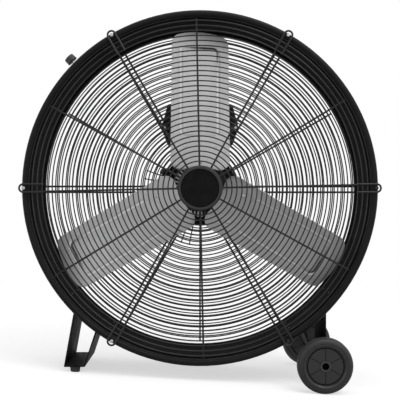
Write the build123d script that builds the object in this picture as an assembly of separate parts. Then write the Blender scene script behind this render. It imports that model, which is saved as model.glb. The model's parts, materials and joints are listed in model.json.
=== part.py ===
from build123d import *
import os
from math import asin, atan2, cos, degrees, hypot, radians, sin, sqrt

# Drum fan. All sizes are in millimetres.
# Drum frame: origin on the fan axis at the middle of the drum's depth, +X to the right and +Z up as
# seen from the front, +Y to the rear. The finished pieces are moved to the row frame: origin on the
# floor under the fan axis, with the drum turned by the lean at which wheels and feet share the floor.

# Drum
WALL_R = 397.0          # inside radius of the drum's wall
WALL_T = 2.0            # sheet thickness
DRUM_DEPTH = 240.0      # over both rolled edges
BEAD_R = 8.0            # radius of the rolled edge's section
SWAGE_R = 10.0          # section radius of the two stiffening grooves
SWAGE_DEPTH = 4.0       # how far they stand into the drum
SWAGE_Y = 78.0          # their distance from the drum's middle

# Front guard
FRONT_WIRE_R = 1.5
FRONT_RING_COUNT = 29
FRONT_RING_WALL_GAP = 8.9   # from the outermost ring to the drum's wall
FRONT_RING_PLATE_GAP = 10.6 # from the innermost ring to the centre plate
SPOKE_WIRE_R = 2.15
SPOKE_COUNT = 12
SPOKE_TURN = 1.2        # degrees, counter-clockwise from the clips
SPOKE_INNER_R = 20.0
SPOKE_RIM_GAP = 4.0     # from a spoke's end to the rolled edge
CLIP_WIRE_R = 2.3
CLIP_HALF_SPACING = 9.1
CLIP_COUNT = 6
CLIP_SCREW_INSET = 4.4  # of a clip's screw, inside the rolled edge's outer radius
CLIP_LENGTH = 57.0
HUB_PLATE_R = 50.0
HUB_PLATE_T = 3.0
CAP_R = 52.0
CAP_HEIGHT = 10.0
CAP_BEZEL_W = 7.5
CAP_FLOOR_T = 3.0
BADGE_T = 4.5
BADGE_GAP = 0.3

# Rear guard and motor plate
REAR_WIRE_R = 1.5
REAR_RING_COUNT = 38
REAR_RING_WALL_GAP = 5.9
REAR_RING_PLATE_GAP = 0.9   # from the innermost ring to the motor plate
REAR_SPOKE_WIRE_R = 2.15
HAIRPIN_WIRE_R = 2.5
HAIRPIN_HALF_SPACING = 7.4
REAR_ROD_INNER_R = 40.0
STRUT_PAIR_COUNT = 4    # pairs of short wires across the rings around the motor
STRUT_PAIR_ANGLE = 74.7
STRUT_HALF_TURN = 4.3   # degrees from a pair's middle
STRUT_FIRST_RING = 1    # counted from the innermost ring, which is 0
STRUT_LAST_RING = 9
STRUT_END = 2.5         # of strut past its last ring's middle
MOTOR_PLATE_R = 62.0
MOTOR_PLATE_T = 4.0
MOTOR_BOLT_R = 3.0
MOTOR_BOLT_PCD_R = 26.0
MOTOR_BOLT_COUNT = 4

# Guard screws
CLIP_SCREW_R = 2.0
CLIP_SCREW_HEAD_R = 4.2
CLIP_SCREW_HEAD_H = 3.2
CLIP_SCREW_DEPTH = 9.0

# Rotor
BLADE_COUNT = 3
BLADE_PLANE_Y = -15.0
BLADE_PITCH = 20.0      # degrees; the edge that follows clockwise lies deeper in the drum
BLADE_TIP_GAP = 18.5    # from a blade's tip to the drum's wall
BLADE_TIP_ARC_R = 200.0
BLADE_ROOT_V = 52.0     # the hollow root edge's distance from the fan axis, at its middle
BLADE_ROOT_ARC_R = 145.0
BLADE_ROOT_HALF_W = 77.5
BLADE_TIP_HALF_W = 71.0
BLADE_ROOT_CORNER_R = 26.0
BLADE_TIP_CORNER_R = 24.0
BLADE_T = 2.0
BLADE_CAMBER_R = 620.0
PANEL_ROOT_V = 126.0    # the pressed outline on each blade
PANEL_TIP_V = 343.0
PANEL_HALF_W = 47.5
PANEL_CORNER_R = 14.0
PANEL_GROOVE_W = 11.0
PANEL_GROOVE_DEPTH = 1.0
RIVET_OUTER_V = 99.0
RIVET_OUTER_U = 38.5
RIVET_INNER_V = 63.0
RIVET_R = 2.5
RIVET_HEAD_R = 4.6
RIVET_HEAD_H = 1.8
ARM_T = 4.0
ARM_MARGIN = 14.0       # of arm around its rivets
ARM_ROOT_HALF_W = 16.0
HUB_R = 27.0
HUB_FRONT_Y = -42.0
HUB_REAR_Y = 10.0
SHAFT_R = 8.0
SHAFT_FRONT_Y = -56.0
NUT_R = 14.0
NUT_T = 9.0

# Motor
MOTOR_R = 91.0
MOTOR_WALL_T = 3.0
MOTOR_FRONT_Y = 32.0
BELL_T = 8.0
BEARING_R = 16.0
BEARING_FLOOR_T = 2.0
BELL_BORE_GAP = 2.0     # around the shaft
AIR_GAP = 0.5
ROTOR_CORE_R = 38.0
WINDING_W = 24.0
WINDING_T = 10.0
WINDING_GAP = 3.0       # to the end covers
FIN_COUNT = 42
FIN_INNER_R = 56.0
FIN_OUTER_R = 69.0
FIN_T = 2.6
FIN_H = 4.0
FIN_BASE_T = 1.0

LEAD_ANGLE = 155.0      # where the motor's lead leaves it
LEAD_BOSS_H = 8.0
LEAD_BOSS_HALF_W = 13.0
LEAD_GLAND_LENGTH = 11.0

# Terminal box behind the upper part of the rear guard
BOX_TOP_Z = 220.0
BOX_LUG_Z = 160.0
BOX_BOTTOM_Z = 114.0
BOX_HALF_W_TOP = 83.0
BOX_HALF_W_LUG = 98.0
BOX_HALF_W_BOTTOM = 84.0
BOX_CORNER_R = 6.0
BOX_DEPTH = 38.0
BOX_WALL_T = 2.5
BOX_COVER_T = 3.0
BOX_COVER_BEVEL = 1.5
BOX_SCREW_R = 2.0
CAPACITOR_R = 17.0
CAPACITOR_LENGTH = 70.0
CAPACITOR_EDGE_R = 2.0
TERMINAL_BLOCK = (60.0, 18.0, 22.0)     # width, depth front to back and height
TERMINAL_COUNT = 5
GLAND_R = 9.0
GLAND_BORE_R = 4.0
GLAND_LENGTH = 22.0
GLAND_WALL = 2.0
BOX_SCREW_LOW_R = 183.0     # rough distances of its screws from the fan axis
BOX_SCREW_HIGH_R = 217.0
BOX_SCREW_HIGH_TURN = 16.0  # degrees from upright; the low pair sits between the hairpins' legs
BOX_NUT_R = 3.6
BOX_NUT_T = 1.6
CLAMP_T = 2.0
CLAMP_HALF_H = 6.0
CLAMP_END = 6.5         # of clamp past its screws

# Speed control on the drum's outside
CONTROL_ANGLE = 135.0
CONTROL_HEIGHT = 25.0
CONTROL_HALF_DEPTH = 32.0
CONTROL_HALF_W = 36.0
CONTROL_WALL_T = 2.5
CONTROL_CORNER_R = 5.0
CONTROL_EDGE_R = 2.0
SWITCH_HALF = 14.0
SWITCH_H = 16.0
BUSHING_R = 5.0
BUSHING_H = 2.6         # of thread above the turret
TURRET_R = 12.0
TURRET_H = 8.0
DIAL_R = 20.0
DIAL_T = 1.0
KNOB_LIFT = 14.6        # from the box's face to the knob's underside
KNOB_BASE_R = 13.4
KNOB_TOP_R = 12.4
KNOB_H = 15.0
KNOB_EDGE_R = 2.0
KNOB_SHAFT_R = 3.0
KNOB_MARK_W = 2.0

# Stand: a bent strip with two rubber feet
STRIP_T = 3.0
STRIP_HALF_DEPTH = 92.0
STAND_PLATE_LEFT = (-316.0, -415.5)
STAND_PLATE_RIGHT = (-270.0, -415.5)
STAND_LEG_LEFT = (-290.6, -274.0)
STAND_LEG_RIGHT = (-238.6, -321.0)
TAB_SPAN = 6.5          # degrees of the drum that each strip end follows
FOOT_TOP_R = 12.5
FOOT_BOTTOM_R = 10.2
FOOT_H = 12.6
FOOT_INSET = 15.0       # from the strip's edge to a foot's centre
FOOT_SCREW_R = 2.5

# Wheels
WHEEL_R = 62.5
WHEEL_CENTRE = (279.7, -397.8)
WHEEL_WIDTH = 35.0
WHEEL_CENTRE_Y = 173.0
TYRE_BORE_R = 43.5
TYRE_SHOULDER_R = 11.0
TYRE_LIP = 2.5
RIM_WIDTH = 26.0
RIM_GROOVE_OUTER_R = 42.0
RIM_GROOVE_INNER_R = 39.6
RIM_GROOVE_DEPTH = 5.0
BOSS_R = 12.0
BOSS_LENGTH = 30.0
RIB_COUNT = 6
RIB_W = 1.4
RIB_DEPTH = 1.4
RIB_END_GAP = 0.5       # from the boss and from the ring groove
AXLE_R = 6.0
AXLE_RECESS = 7.0       # from the boss's face to the axle's end
PUSH_NUT_R = 7.6
PUSH_NUT_T = 2.0
COUNTERBORE_R = 8.2
SPACER_R = 9.5
BRACKET_OUTER_X = 292.8
BRACKET_PLATE_Z = -384.0
BRACKET_INNER_X = 262.0
BRACKET_INNER_TOP = (238.0, -321.5)
EAR_R = 16.0
EAR_T = 3.0

# Fits
SEAT = 0.1              # between curved faces that seat on each other
PAST = 1.0              # how far a cut runs past the face it opens
END_CHAMFER = 1.0       # on the ends of the motor shaft and the axle
SHANK_END = 2.0         # of a screw past the last sheet it holds
RUN = 0.05              # radial, shaft in its bearing
WHEEL_RUN = 0.08        # radial, wheel on its axle
SIDE_PLAY = 0.3         # axial, beside what turns
STRIP_SCREW_R = 2.5
STRIP_SCREW_HEAD_R = 5.0
STRIP_SCREW_HEAD_H = 3.0
STRIP_SCREW_Y = 41.4    # from the drum's middle
TAB_SCREW_SHARE = 0.6   # of the tab's span, from the bend

# Worked out
wall_out_r = WALL_R + WALL_T
bead_y = DRUM_DEPTH / 2 - BEAD_R
bead_centre_r = wall_out_r + BEAD_R / 2
rim_r = bead_centre_r + BEAD_R
front_y = -DRUM_DEPTH / 2
rear_y = DRUM_DEPTH / 2
ring_y = front_y + FRONT_WIRE_R
spoke_y = ring_y + FRONT_WIRE_R + SPOKE_WIRE_R
spoke_outer_r = bead_centre_r - BEAD_R - SPOKE_RIM_GAP
clip_y = front_y - CLIP_WIRE_R
clip_screw_r = rim_r - CLIP_SCREW_INSET
clip_outer_r = clip_screw_r + CLIP_HALF_SPACING + CLIP_WIRE_R
rear_ring_y = rear_y - REAR_WIRE_R
rear_spoke_y = rear_y + REAR_SPOKE_WIRE_R
hairpin_y = rear_y + HAIRPIN_WIRE_R
front_ring_first_r = HUB_PLATE_R + FRONT_RING_PLATE_GAP + FRONT_WIRE_R
front_ring_last_r = WALL_R - FRONT_RING_WALL_GAP - FRONT_WIRE_R
front_ring_pitch = (front_ring_last_r - front_ring_first_r) / (FRONT_RING_COUNT - 1)
rear_ring_first_r = MOTOR_PLATE_R + REAR_RING_PLATE_GAP + REAR_WIRE_R
rear_ring_last_r = WALL_R - REAR_RING_WALL_GAP - REAR_WIRE_R
rear_ring_pitch = (rear_ring_last_r - rear_ring_first_r) / (REAR_RING_COUNT - 1)
motor_plate_y = rear_y - MOTOR_PLATE_T
motor_rear_y = motor_plate_y
motor_middle_y = (MOTOR_FRONT_Y + motor_rear_y) / 2
core_half_length = (motor_rear_y - MOTOR_FRONT_Y) / 2 - BELL_T - WINDING_GAP - WINDING_T
blade_tip_r = WALL_R - BLADE_TIP_GAP
panel_middle_v = (PANEL_ROOT_V + PANEL_TIP_V) / 2
box_front_y = rear_y + 2 * HAIRPIN_WIRE_R
box_rear_y = box_front_y + BOX_DEPTH
control_top_r = wall_out_r + CONTROL_HEIGHT
foot_x = (STAND_PLATE_LEFT[0] + STAND_PLATE_RIGHT[0]) / 2
foot_top_z = STAND_PLATE_LEFT[1] - STRIP_T / 2
foot_bottom_z = foot_top_z - FOOT_H
foot_y = STRIP_HALF_DEPTH - FOOT_INSET
wheel_reach = hypot(WHEEL_CENTRE[0] - foot_x, WHEEL_CENTRE[1] - foot_bottom_z)
wheel_rise = degrees(atan2(WHEEL_CENTRE[1] - foot_bottom_z, WHEEL_CENTRE[0] - foot_x))
lean = degrees(asin(WHEEL_R / wheel_reach)) - wheel_rise
axis_height = foot_x * -sin(radians(lean)) - foot_bottom_z * cos(radians(lean))


def turn(shape, angle):
    """Turns a shape about the fan axis, counter-clockwise as seen from the front."""
    return Rot(0, -angle, 0) * shape


def around(shape, count, first=0.0):
    """Copies of a shape at equal steps about the fan axis."""
    return [turn(shape, first + 360 / count * n) for n in range(count)]


def at_y(y, shape):
    """A shape modelled about +Z, laid along the fan axis with its middle at y."""
    return Pos(0, y, 0) * Rot(90, 0, 0) * shape


def tube(outer_r, inner_r, low_y, high_y):
    """A ring about the fan axis."""
    ring = Cylinder(outer_r, high_y - low_y) - Cylinder(inner_r, high_y - low_y)
    return at_y((low_y + high_y) / 2, ring)


def disc(radius, low_y, high_y):
    """A disc about the fan axis."""
    return at_y((low_y + high_y) / 2, Cylinder(radius, high_y - low_y))


def radial_rod(wire_r, inner_r, outer_r, y, offset=0.0):
    """A straight wire that points along +X."""
    return Pos((inner_r + outer_r) / 2, y, offset) * Rot(0, 90, 0) * Cylinder(wire_r, outer_r - inner_r)


def hairpin(wire_r, half_spacing, inner_r, outer_r, y):
    """A wire bent round its outer end, with both legs along +X."""
    bend_x = outer_r - wire_r - half_spacing
    path = Line((inner_r, y, half_spacing), (bend_x, y, half_spacing))
    path += ThreePointArc(
        (bend_x, y, half_spacing), (bend_x + half_spacing, y, 0), (bend_x, y, -half_spacing)
    )
    path += Line((bend_x, y, -half_spacing), (inner_r, y, -half_spacing))
    section = Plane((inner_r, y, half_spacing), z_dir=(1, 0, 0)) * Circle(wire_r)
    return sweep(section, path=path)


def wire_rings(first_r, pitch, count, wire_r, y):
    """Concentric rings of wire."""
    return [at_y(y, Torus(first_r + pitch * n, wire_r)) for n in range(count)]


def guard_rings(guard, first_r, pitch, count, wire_r, y):
    """One guard's rings, as an inner and an outer group."""
    inner = count // 2
    outer_first_r = first_r + pitch * inner
    return {
        f"{guard}_inner_rings": wire_rings(first_r, pitch, inner, wire_r, y),
        f"{guard}_outer_rings": wire_rings(outer_first_r, pitch, count - inner, wire_r, y),
    }


def pan_screw(shank_r, shank_length, head_r, head_h):
    """A screw along +Z with its head's underside at the origin and its shank below it."""
    head = Pos(0, 0, head_h / 2) * Cylinder(head_r, head_h)
    head = fillet(head.edges().group_by(Axis.Z)[-1], head_h * 0.45)
    return head + Pos(0, 0, -shank_length / 2) * Cylinder(shank_r, shank_length)


def bead_section(side, grown=0):
    return Pos(bead_centre_r, side * bead_y) * Circle(BEAD_R + grown)


def drum_shell():
    """The wall with its two stiffening grooves, up to the rolled edges."""
    profile = Pos((WALL_R + wall_out_r) / 2, 0) * Rectangle(WALL_T, 2 * bead_y)
    inner_half = Pos(wall_out_r - SWAGE_R, 0) * Rectangle(2 * SWAGE_R, DRUM_DEPTH)
    swage_centre_r = WALL_R - SWAGE_DEPTH + SWAGE_R
    for side in (-1, 1):
        profile -= bead_section(side, SEAT)
        profile += (Pos(swage_centre_r, side * SWAGE_Y) * Circle(SWAGE_R)) & inner_half
        profile -= Pos(swage_centre_r, side * SWAGE_Y) * Circle(SWAGE_R - WALL_T)
    shell = revolve(profile, Axis.Y)
    for x, z, y in strip_screw_places():
        shell -= strip_screw_hole(x, z, y)
    return shell


def drum_rims():
    """The two rolled edges, drilled for the clips' screws."""
    hole = Cylinder(CLIP_SCREW_R + SEAT, CLIP_SCREW_DEPTH)
    rims = []
    for side in (-1, 1):
        y = side * (DRUM_DEPTH / 2 - CLIP_SCREW_DEPTH / 2)
        holes = around(Pos(clip_screw_r, 0, 0) * at_y(y, hole), CLIP_COUNT)
        rims.append(revolve(bead_section(side), Axis.Y) - holes)
    return rims


def front_guard_clips():
    """Hairpins over the rolled edge, welded across the outer rings."""
    clip = hairpin(
        CLIP_WIRE_R, CLIP_HALF_SPACING, clip_outer_r - CLIP_LENGTH, clip_outer_r, clip_y
    )
    return around(clip, CLIP_COUNT)


def front_guard_spokes():
    spoke = radial_rod(SPOKE_WIRE_R, SPOKE_INNER_R, spoke_outer_r, spoke_y)
    return around(spoke, SPOKE_COUNT, SPOKE_TURN)


def clip_screws(side):
    """The screws inside the loops, on the front (-1) or the rear (1)."""
    screw = pan_screw(CLIP_SCREW_R, CLIP_SCREW_DEPTH, CLIP_SCREW_HEAD_R, CLIP_SCREW_HEAD_H)
    screw = Pos(clip_screw_r, side * DRUM_DEPTH / 2, 0) * Rot(side * -90, 0, 0) * screw
    return around(screw, CLIP_COUNT)


def front_hub_plate():
    return disc(HUB_PLATE_R, front_y, front_y + HUB_PLATE_T)


def hub_cap():
    """A shallow cup with a bevelled rim, open to the front."""
    face_y = front_y - CAP_HEIGHT
    cup = disc(CAP_R, face_y, front_y)
    cup = chamfer(cup.edges().group_by(Axis.Y)[0], CAP_BEZEL_W * 0.45)
    return cup - disc(CAP_R - CAP_BEZEL_W, face_y - PAST, front_y - CAP_FLOOR_T)


def hub_badge():
    """The bare disc in the middle of the cap."""
    low_y = front_y - CAP_FLOOR_T - BADGE_T
    badge = disc(CAP_R - CAP_BEZEL_W - BADGE_GAP, low_y, front_y - CAP_FLOOR_T)
    return fillet(badge.edges().group_by(Axis.Y)[0], BADGE_T * 0.2)


def rear_guard_struts():
    """Pairs of short wires that stiffen the rings around the motor."""
    inner_r = rear_ring_first_r + STRUT_FIRST_RING * rear_ring_pitch - STRUT_END
    outer_r = rear_ring_first_r + STRUT_LAST_RING * rear_ring_pitch + STRUT_END
    strut = radial_rod(REAR_WIRE_R, inner_r, outer_r, rear_y + REAR_WIRE_R)
    angles = [STRUT_PAIR_ANGLE + side * STRUT_HALF_TURN for side in (-1, 1)]
    return [one for angle in angles for one in around(strut, STRUT_PAIR_COUNT, angle)]


def rear_guard_spokes():
    spoke = radial_rod(REAR_SPOKE_WIRE_R, REAR_ROD_INNER_R, spoke_outer_r, rear_spoke_y)
    return around(spoke, CLIP_COUNT, 180 / CLIP_COUNT) + rear_guard_struts()


def rear_guard_hairpins():
    rod = hairpin(
        HAIRPIN_WIRE_R, HAIRPIN_HALF_SPACING, REAR_ROD_INNER_R, clip_outer_r, hairpin_y
    )
    return around(rod, CLIP_COUNT)


def motor_bolt_places():
    return around(Pos(MOTOR_BOLT_PCD_R, 0, 0), MOTOR_BOLT_COUNT, 180 / MOTOR_BOLT_COUNT)


def motor_plate():
    plate = disc(MOTOR_PLATE_R, motor_plate_y, rear_y)
    for place in motor_bolt_places():
        plate -= place * disc(MOTOR_BOLT_R + SEAT, motor_plate_y - PAST, rear_y + PAST)
    return plate


def motor_bolts():
    bolt = pan_screw(MOTOR_BOLT_R, MOTOR_PLATE_T + BELL_T / 2, MOTOR_BOLT_R * 2, MOTOR_BOLT_R)
    return [place * Pos(0, rear_y, 0) * Rot(-90, 0, 0) * bolt for place in motor_bolt_places()]


def at_lead(shape):
    """A shape modelled with +Z pointing away from the motor, at its lead."""
    return turn(Pos(0, motor_middle_y, 0) * Rot(0, 90, 0) * shape, LEAD_ANGLE)


def motor_housing():
    """The housing with a boss on its side for the lead."""
    side = 2 * LEAD_BOSS_HALF_W
    boss = Pos(0, 0, MOTOR_R + (LEAD_BOSS_H - MOTOR_WALL_T) / 2) * Box(
        side, side, LEAD_BOSS_H + MOTOR_WALL_T
    )
    boss = fillet(boss.edges().filter_by(Axis.Z), LEAD_BOSS_HALF_W / 3)
    housing = at_y(motor_middle_y, Cylinder(MOTOR_R, motor_rear_y - MOTOR_FRONT_Y - 2 * BELL_T))
    housing += at_lead(boss)
    bore = Cylinder(MOTOR_R - MOTOR_WALL_T, motor_rear_y - MOTOR_FRONT_Y)
    lead = Pos(0, 0, MOTOR_R) * Cylinder(GLAND_BORE_R, 4 * LEAD_BOSS_H)
    return housing - at_y(motor_middle_y, bore) - at_lead(lead)


def motor_front_bell():
    """The end cover with its bearing seat, open to the shaft."""
    bell = disc(MOTOR_R, MOTOR_FRONT_Y, MOTOR_FRONT_Y + BELL_T)
    bell = fillet(bell.edges().group_by(Axis.Y)[0], BELL_T * 0.4)
    bell -= disc(SHAFT_R + BELL_BORE_GAP, MOTOR_FRONT_Y - PAST, MOTOR_FRONT_Y + BELL_T)
    return bell - disc(BEARING_R, MOTOR_FRONT_Y + BEARING_FLOOR_T, MOTOR_FRONT_Y + BELL_T + PAST)


def motor_rear_bell():
    bell = disc(MOTOR_R, motor_rear_y - BELL_T, motor_rear_y)
    bell -= disc(BEARING_R, motor_rear_y - BELL_T - PAST, motor_rear_y - BEARING_FLOOR_T)
    for place in motor_bolt_places():
        bell -= place * disc(MOTOR_BOLT_R + SEAT, motor_rear_y - BELL_T / 2, motor_rear_y + PAST)
    return bell


def bearing(low_y):
    return tube(BEARING_R, SHAFT_R + RUN, low_y, low_y + BELL_T - BEARING_FLOOR_T)


def motor_fins():
    """A ring of short radial cooling fins on the front cover."""
    base = tube(FIN_OUTER_R, FIN_INNER_R, MOTOR_FRONT_Y - FIN_BASE_T, MOTOR_FRONT_Y)
    fin = Box(FIN_OUTER_R - FIN_INNER_R, FIN_H, FIN_T)
    fin_y = MOTOR_FRONT_Y - FIN_BASE_T - FIN_H / 2
    return base + around(Pos((FIN_INNER_R + FIN_OUTER_R) / 2, fin_y, 0) * fin, FIN_COUNT)


def stator_core():
    inner_r = ROTOR_CORE_R + AIR_GAP
    low_y = motor_middle_y - core_half_length
    return tube(MOTOR_R - MOTOR_WALL_T - SEAT, inner_r, low_y, low_y + 2 * core_half_length)


def stator_windings():
    """The two rings of wire that stand out of the core."""
    middle_r = (ROTOR_CORE_R + MOTOR_R - MOTOR_WALL_T) / 2
    near = motor_middle_y + core_half_length
    ring = tube(middle_r + WINDING_W / 2, middle_r - WINDING_W / 2, near, near + WINDING_T)
    return [ring, Pos(0, -2 * core_half_length - WINDING_T, 0) * ring]


def motor_shaft():
    shaft = disc(SHAFT_R, SHAFT_FRONT_Y, motor_rear_y - BEARING_FLOOR_T - SIDE_PLAY)
    return chamfer(shaft.edges().group_by(Axis.Y)[0], END_CHAMFER)


def rotor_core():
    low_y = motor_middle_y - core_half_length
    return tube(ROTOR_CORE_R, SHAFT_R, low_y, low_y + 2 * core_half_length)


def blade_frame(shape):
    """Places a sheet from its own frame (u across, v along the radius, w to the front)."""
    plane = Plane((0, BLADE_PLANE_Y, 0), x_dir=(1, 0, 0), z_dir=(0, -1, 0))
    return plane * Rot(0, BLADE_PITCH, 0) * shape


def cambered(outline, low, high):
    """A sheet of the given outline, between two depths behind the blade's hollow face."""
    reach = 2 * BLADE_TIP_HALF_W
    prism = extrude(outline, reach / 2, both=True)
    axle = Pos(0, blade_tip_r / 2, BLADE_CAMBER_R) * Rot(90, 0, 0)
    outer = axle * Cylinder(BLADE_CAMBER_R + high, 2 * blade_tip_r)
    inner = axle * Cylinder(BLADE_CAMBER_R + low, 2 * blade_tip_r)
    return prism & (outer - inner)


def blade_outline():
    """A paddle with a hollow root edge, an arched tip and four round corners."""
    sides = Polygon(
        (-BLADE_ROOT_HALF_W, 0),
        (BLADE_ROOT_HALF_W, 0),
        (BLADE_TIP_HALF_W, blade_tip_r + BLADE_TIP_HALF_W),
        (-BLADE_TIP_HALF_W, blade_tip_r + BLADE_TIP_HALF_W),
        align=None,
    )
    outline = sides & Pos(0, blade_tip_r - BLADE_TIP_ARC_R) * Circle(BLADE_TIP_ARC_R)
    outline -= Pos(0, BLADE_ROOT_V - BLADE_ROOT_ARC_R) * Circle(BLADE_ROOT_ARC_R)
    corners = outline.vertices().sort_by(Axis.Y)
    outline = fillet(corners[:2], BLADE_ROOT_CORNER_R)
    corners = outline.vertices().sort_by(Axis.Y)
    return fillet(corners[-2:], BLADE_TIP_CORNER_R)


def panel_outline(grow):
    half_w = PANEL_HALF_W + grow
    length = PANEL_TIP_V - PANEL_ROOT_V + 2 * grow
    return Pos(0, panel_middle_v) * RectangleRounded(2 * half_w, length, PANEL_CORNER_R + grow)


def rivet_places():
    return [(0, RIVET_INNER_V), (-RIVET_OUTER_U, RIVET_OUTER_V), (RIVET_OUTER_U, RIVET_OUTER_V)]


def sheet_depth(u):
    """How far the hollow face stands to the front of the blade's middle at u."""
    return BLADE_CAMBER_R - sqrt(BLADE_CAMBER_R**2 - u**2)


def rivet_axis(u, v):
    """A frame on the hollow face at (u, v) with its Z axis square to the sheet."""
    return Pos(u, v, sheet_depth(u)) * Rot(0, -degrees(asin(u / BLADE_CAMBER_R)), 0)


def rivet_holes():
    length = 4 * (BLADE_T + ARM_T)
    return [rivet_axis(u, v) * Cylinder(RIVET_R, length) for u, v in rivet_places()]


def blade():
    """One pressed paddle, upright above the hub."""
    sheet = cambered(blade_outline(), 0, BLADE_T)
    ring = panel_outline(PANEL_GROOVE_W / 2) - panel_outline(-PANEL_GROOVE_W / 2)
    sheet -= cambered(ring, 0, PANEL_GROOVE_DEPTH)
    for hole in rivet_holes():
        sheet -= hole
    return blade_frame(sheet)


def spider_arm():
    """The bracket behind a blade's root."""
    inner_w = RIVET_R + ARM_MARGIN
    outer_w = RIVET_OUTER_U + ARM_MARGIN / 2
    outline = Polygon(
        (-ARM_ROOT_HALF_W, 0),
        (ARM_ROOT_HALF_W, 0),
        (inner_w, RIVET_INNER_V),
        (outer_w, RIVET_OUTER_V - ARM_MARGIN / 2),
        (outer_w, RIVET_OUTER_V + ARM_MARGIN / 2),
        (-outer_w, RIVET_OUTER_V + ARM_MARGIN / 2),
        (-outer_w, RIVET_OUTER_V - ARM_MARGIN / 2),
        (-inner_w, RIVET_INNER_V),
        align=None,
    )
    arm = cambered(outline, BLADE_T, BLADE_T + ARM_T)
    for hole in rivet_holes():
        arm -= hole
    return blade_frame(arm)


def blade_spider():
    """The hub with one arm for each blade, bored for the shaft."""
    spider = disc(HUB_R, HUB_FRONT_Y, HUB_REAR_Y) + around(spider_arm(), BLADE_COUNT)
    return spider - disc(SHAFT_R, HUB_FRONT_Y - PAST, HUB_REAR_Y + PAST)


def blade_rivets():
    high = SEAT
    low = -BLADE_T - ARM_T - SEAT
    rivet = Pos(0, 0, (low + high) / 2) * Cylinder(RIVET_R, high - low)
    rivet += Pos(0, 0, high + RIVET_HEAD_H / 2) * Cylinder(RIVET_HEAD_R, RIVET_HEAD_H)
    rivet += Pos(0, 0, low - RIVET_HEAD_H / 2) * Cylinder(RIVET_HEAD_R, RIVET_HEAD_H)
    rivet = fillet(rivet.edges().group_by(Axis.Z)[-1], RIVET_HEAD_H * 0.6)
    one_blade = [blade_frame(rivet_axis(u, v) * rivet) for u, v in rivet_places()]
    return [turn(one, 360 / BLADE_COUNT * n) for one in one_blade for n in range(BLADE_COUNT)]


def hub_nut():
    """The nut that holds the spider on the shaft."""
    flats = extrude(RegularPolygon(NUT_R, 6), NUT_T / 2, both=True)
    nut = at_y(HUB_FRONT_Y - NUT_T / 2, flats)
    return nut - disc(SHAFT_R, HUB_FRONT_Y - NUT_T - PAST, HUB_FRONT_Y + PAST)


def box_outline(inset):
    """Flat top and bottom, with sides that come out to a lug for each screw."""
    right = [
        (BOX_HALF_W_BOTTOM, BOX_BOTTOM_Z),
        (BOX_HALF_W_LUG, BOX_LUG_Z - BOX_CORNER_R),
        (BOX_HALF_W_LUG, BOX_LUG_Z + BOX_CORNER_R),
        (BOX_HALF_W_TOP, BOX_TOP_Z),
    ]
    left = [(-x, z) for x, z in reversed(right)]
    outline = Polygon(*right, *left, align=None)
    outline = fillet(outline.vertices(), BOX_CORNER_R)
    return offset(outline, -inset) if inset else outline


def box_slab(inset, low_y, high_y):
    """The box's outline as a slab between two depths."""
    slab = extrude(box_outline(inset), (high_y - low_y) / 2, both=True)
    return Pos(0, (low_y + high_y) / 2, 0) * Rot(90, 0, 0) * slab


def ring_gap_r(radius):
    """The middle of the gap between two rear rings that lies nearest to a radius."""
    rings_in = round((rear_ring_last_r - radius) / rear_ring_pitch - 0.5)
    return rear_ring_last_r - rear_ring_pitch * (rings_in + 0.5)


def box_screw_places():
    """The terminal box's four screws, as x and z, each between two rings."""
    low_turn = 90 - 360 / CLIP_COUNT
    places = []
    for near_r, tilt in ((BOX_SCREW_LOW_R, low_turn), (BOX_SCREW_HIGH_R, BOX_SCREW_HIGH_TURN)):
        x = ring_gap_r(near_r) * sin(radians(tilt))
        z = ring_gap_r(near_r) * cos(radians(tilt))
        places += [(-x, z), (x, z)]
    return places


def terminal_box():
    box = box_slab(0, box_front_y, box_rear_y)
    box -= box_slab(BOX_WALL_T, box_front_y + BOX_WALL_T, box_rear_y + PAST)
    post_y = (box_front_y + box_rear_y) / 2
    for x, z in box_screw_places():
        box += Pos(x, 0, z) * at_y(post_y, Cylinder(3 * BOX_SCREW_R, BOX_DEPTH))
        box -= Pos(x, 0, z) * at_y(post_y, Cylinder(BOX_SCREW_R + SEAT, BOX_DEPTH + 2 * PAST))
    return box - Pos(0, post_y, BOX_BOTTOM_Z) * Cylinder(GLAND_BORE_R + GLAND_WALL, 4 * BOX_WALL_T)


def terminal_box_cover():
    outer_y = box_rear_y + BOX_COVER_T
    cover = box_slab(0, box_rear_y, outer_y)
    cover = chamfer(cover.edges().group_by(Axis.Y)[-1], BOX_COVER_BEVEL)
    for x, z in box_screw_places():
        cover -= Pos(x, 0, z) * disc(BOX_SCREW_R + SEAT, box_rear_y - PAST, outer_y + PAST)
    return cover


def terminal_box_clamps():
    """Two bars inside the guard that the box's long screws pull against the rings."""
    clamp_y = rear_y - 2 * REAR_WIRE_R - CLAMP_T / 2
    bars = []
    for x, z in box_screw_places()[1::2]:
        bar = Pos(0, clamp_y, z) * Box(2 * (x + CLAMP_END), CLAMP_T, 2 * CLAMP_HALF_H)
        for side in (-1, 1):
            bar -= Pos(side * x, 0, z) * at_y(clamp_y, Cylinder(BOX_SCREW_R + SEAT, 2 * CLAMP_T))
        bars.append(bar)
    return bars


def terminal_box_screws():
    """Long screws from the cover, each with its nut inside the guard."""
    grip = BOX_COVER_T + BOX_DEPTH + 2 * HAIRPIN_WIRE_R + 2 * REAR_WIRE_R + CLAMP_T
    screw = pan_screw(BOX_SCREW_R, grip + BOX_NUT_T + SHANK_END, 2 * BOX_SCREW_R, BOX_SCREW_R)
    screw = Pos(0, box_rear_y + BOX_COVER_T, 0) * Rot(-90, 0, 0) * screw
    nut = extrude(RegularPolygon(BOX_NUT_R, 6), BOX_NUT_T / 2, both=True)
    nut -= Cylinder(BOX_SCREW_R + RUN, 2 * BOX_NUT_T)
    nut = at_y(rear_y - 2 * REAR_WIRE_R - CLAMP_T - BOX_NUT_T / 2, nut)
    return [Pos(x, 0, z) * piece for x, z in box_screw_places() for piece in (screw, nut)]


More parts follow.
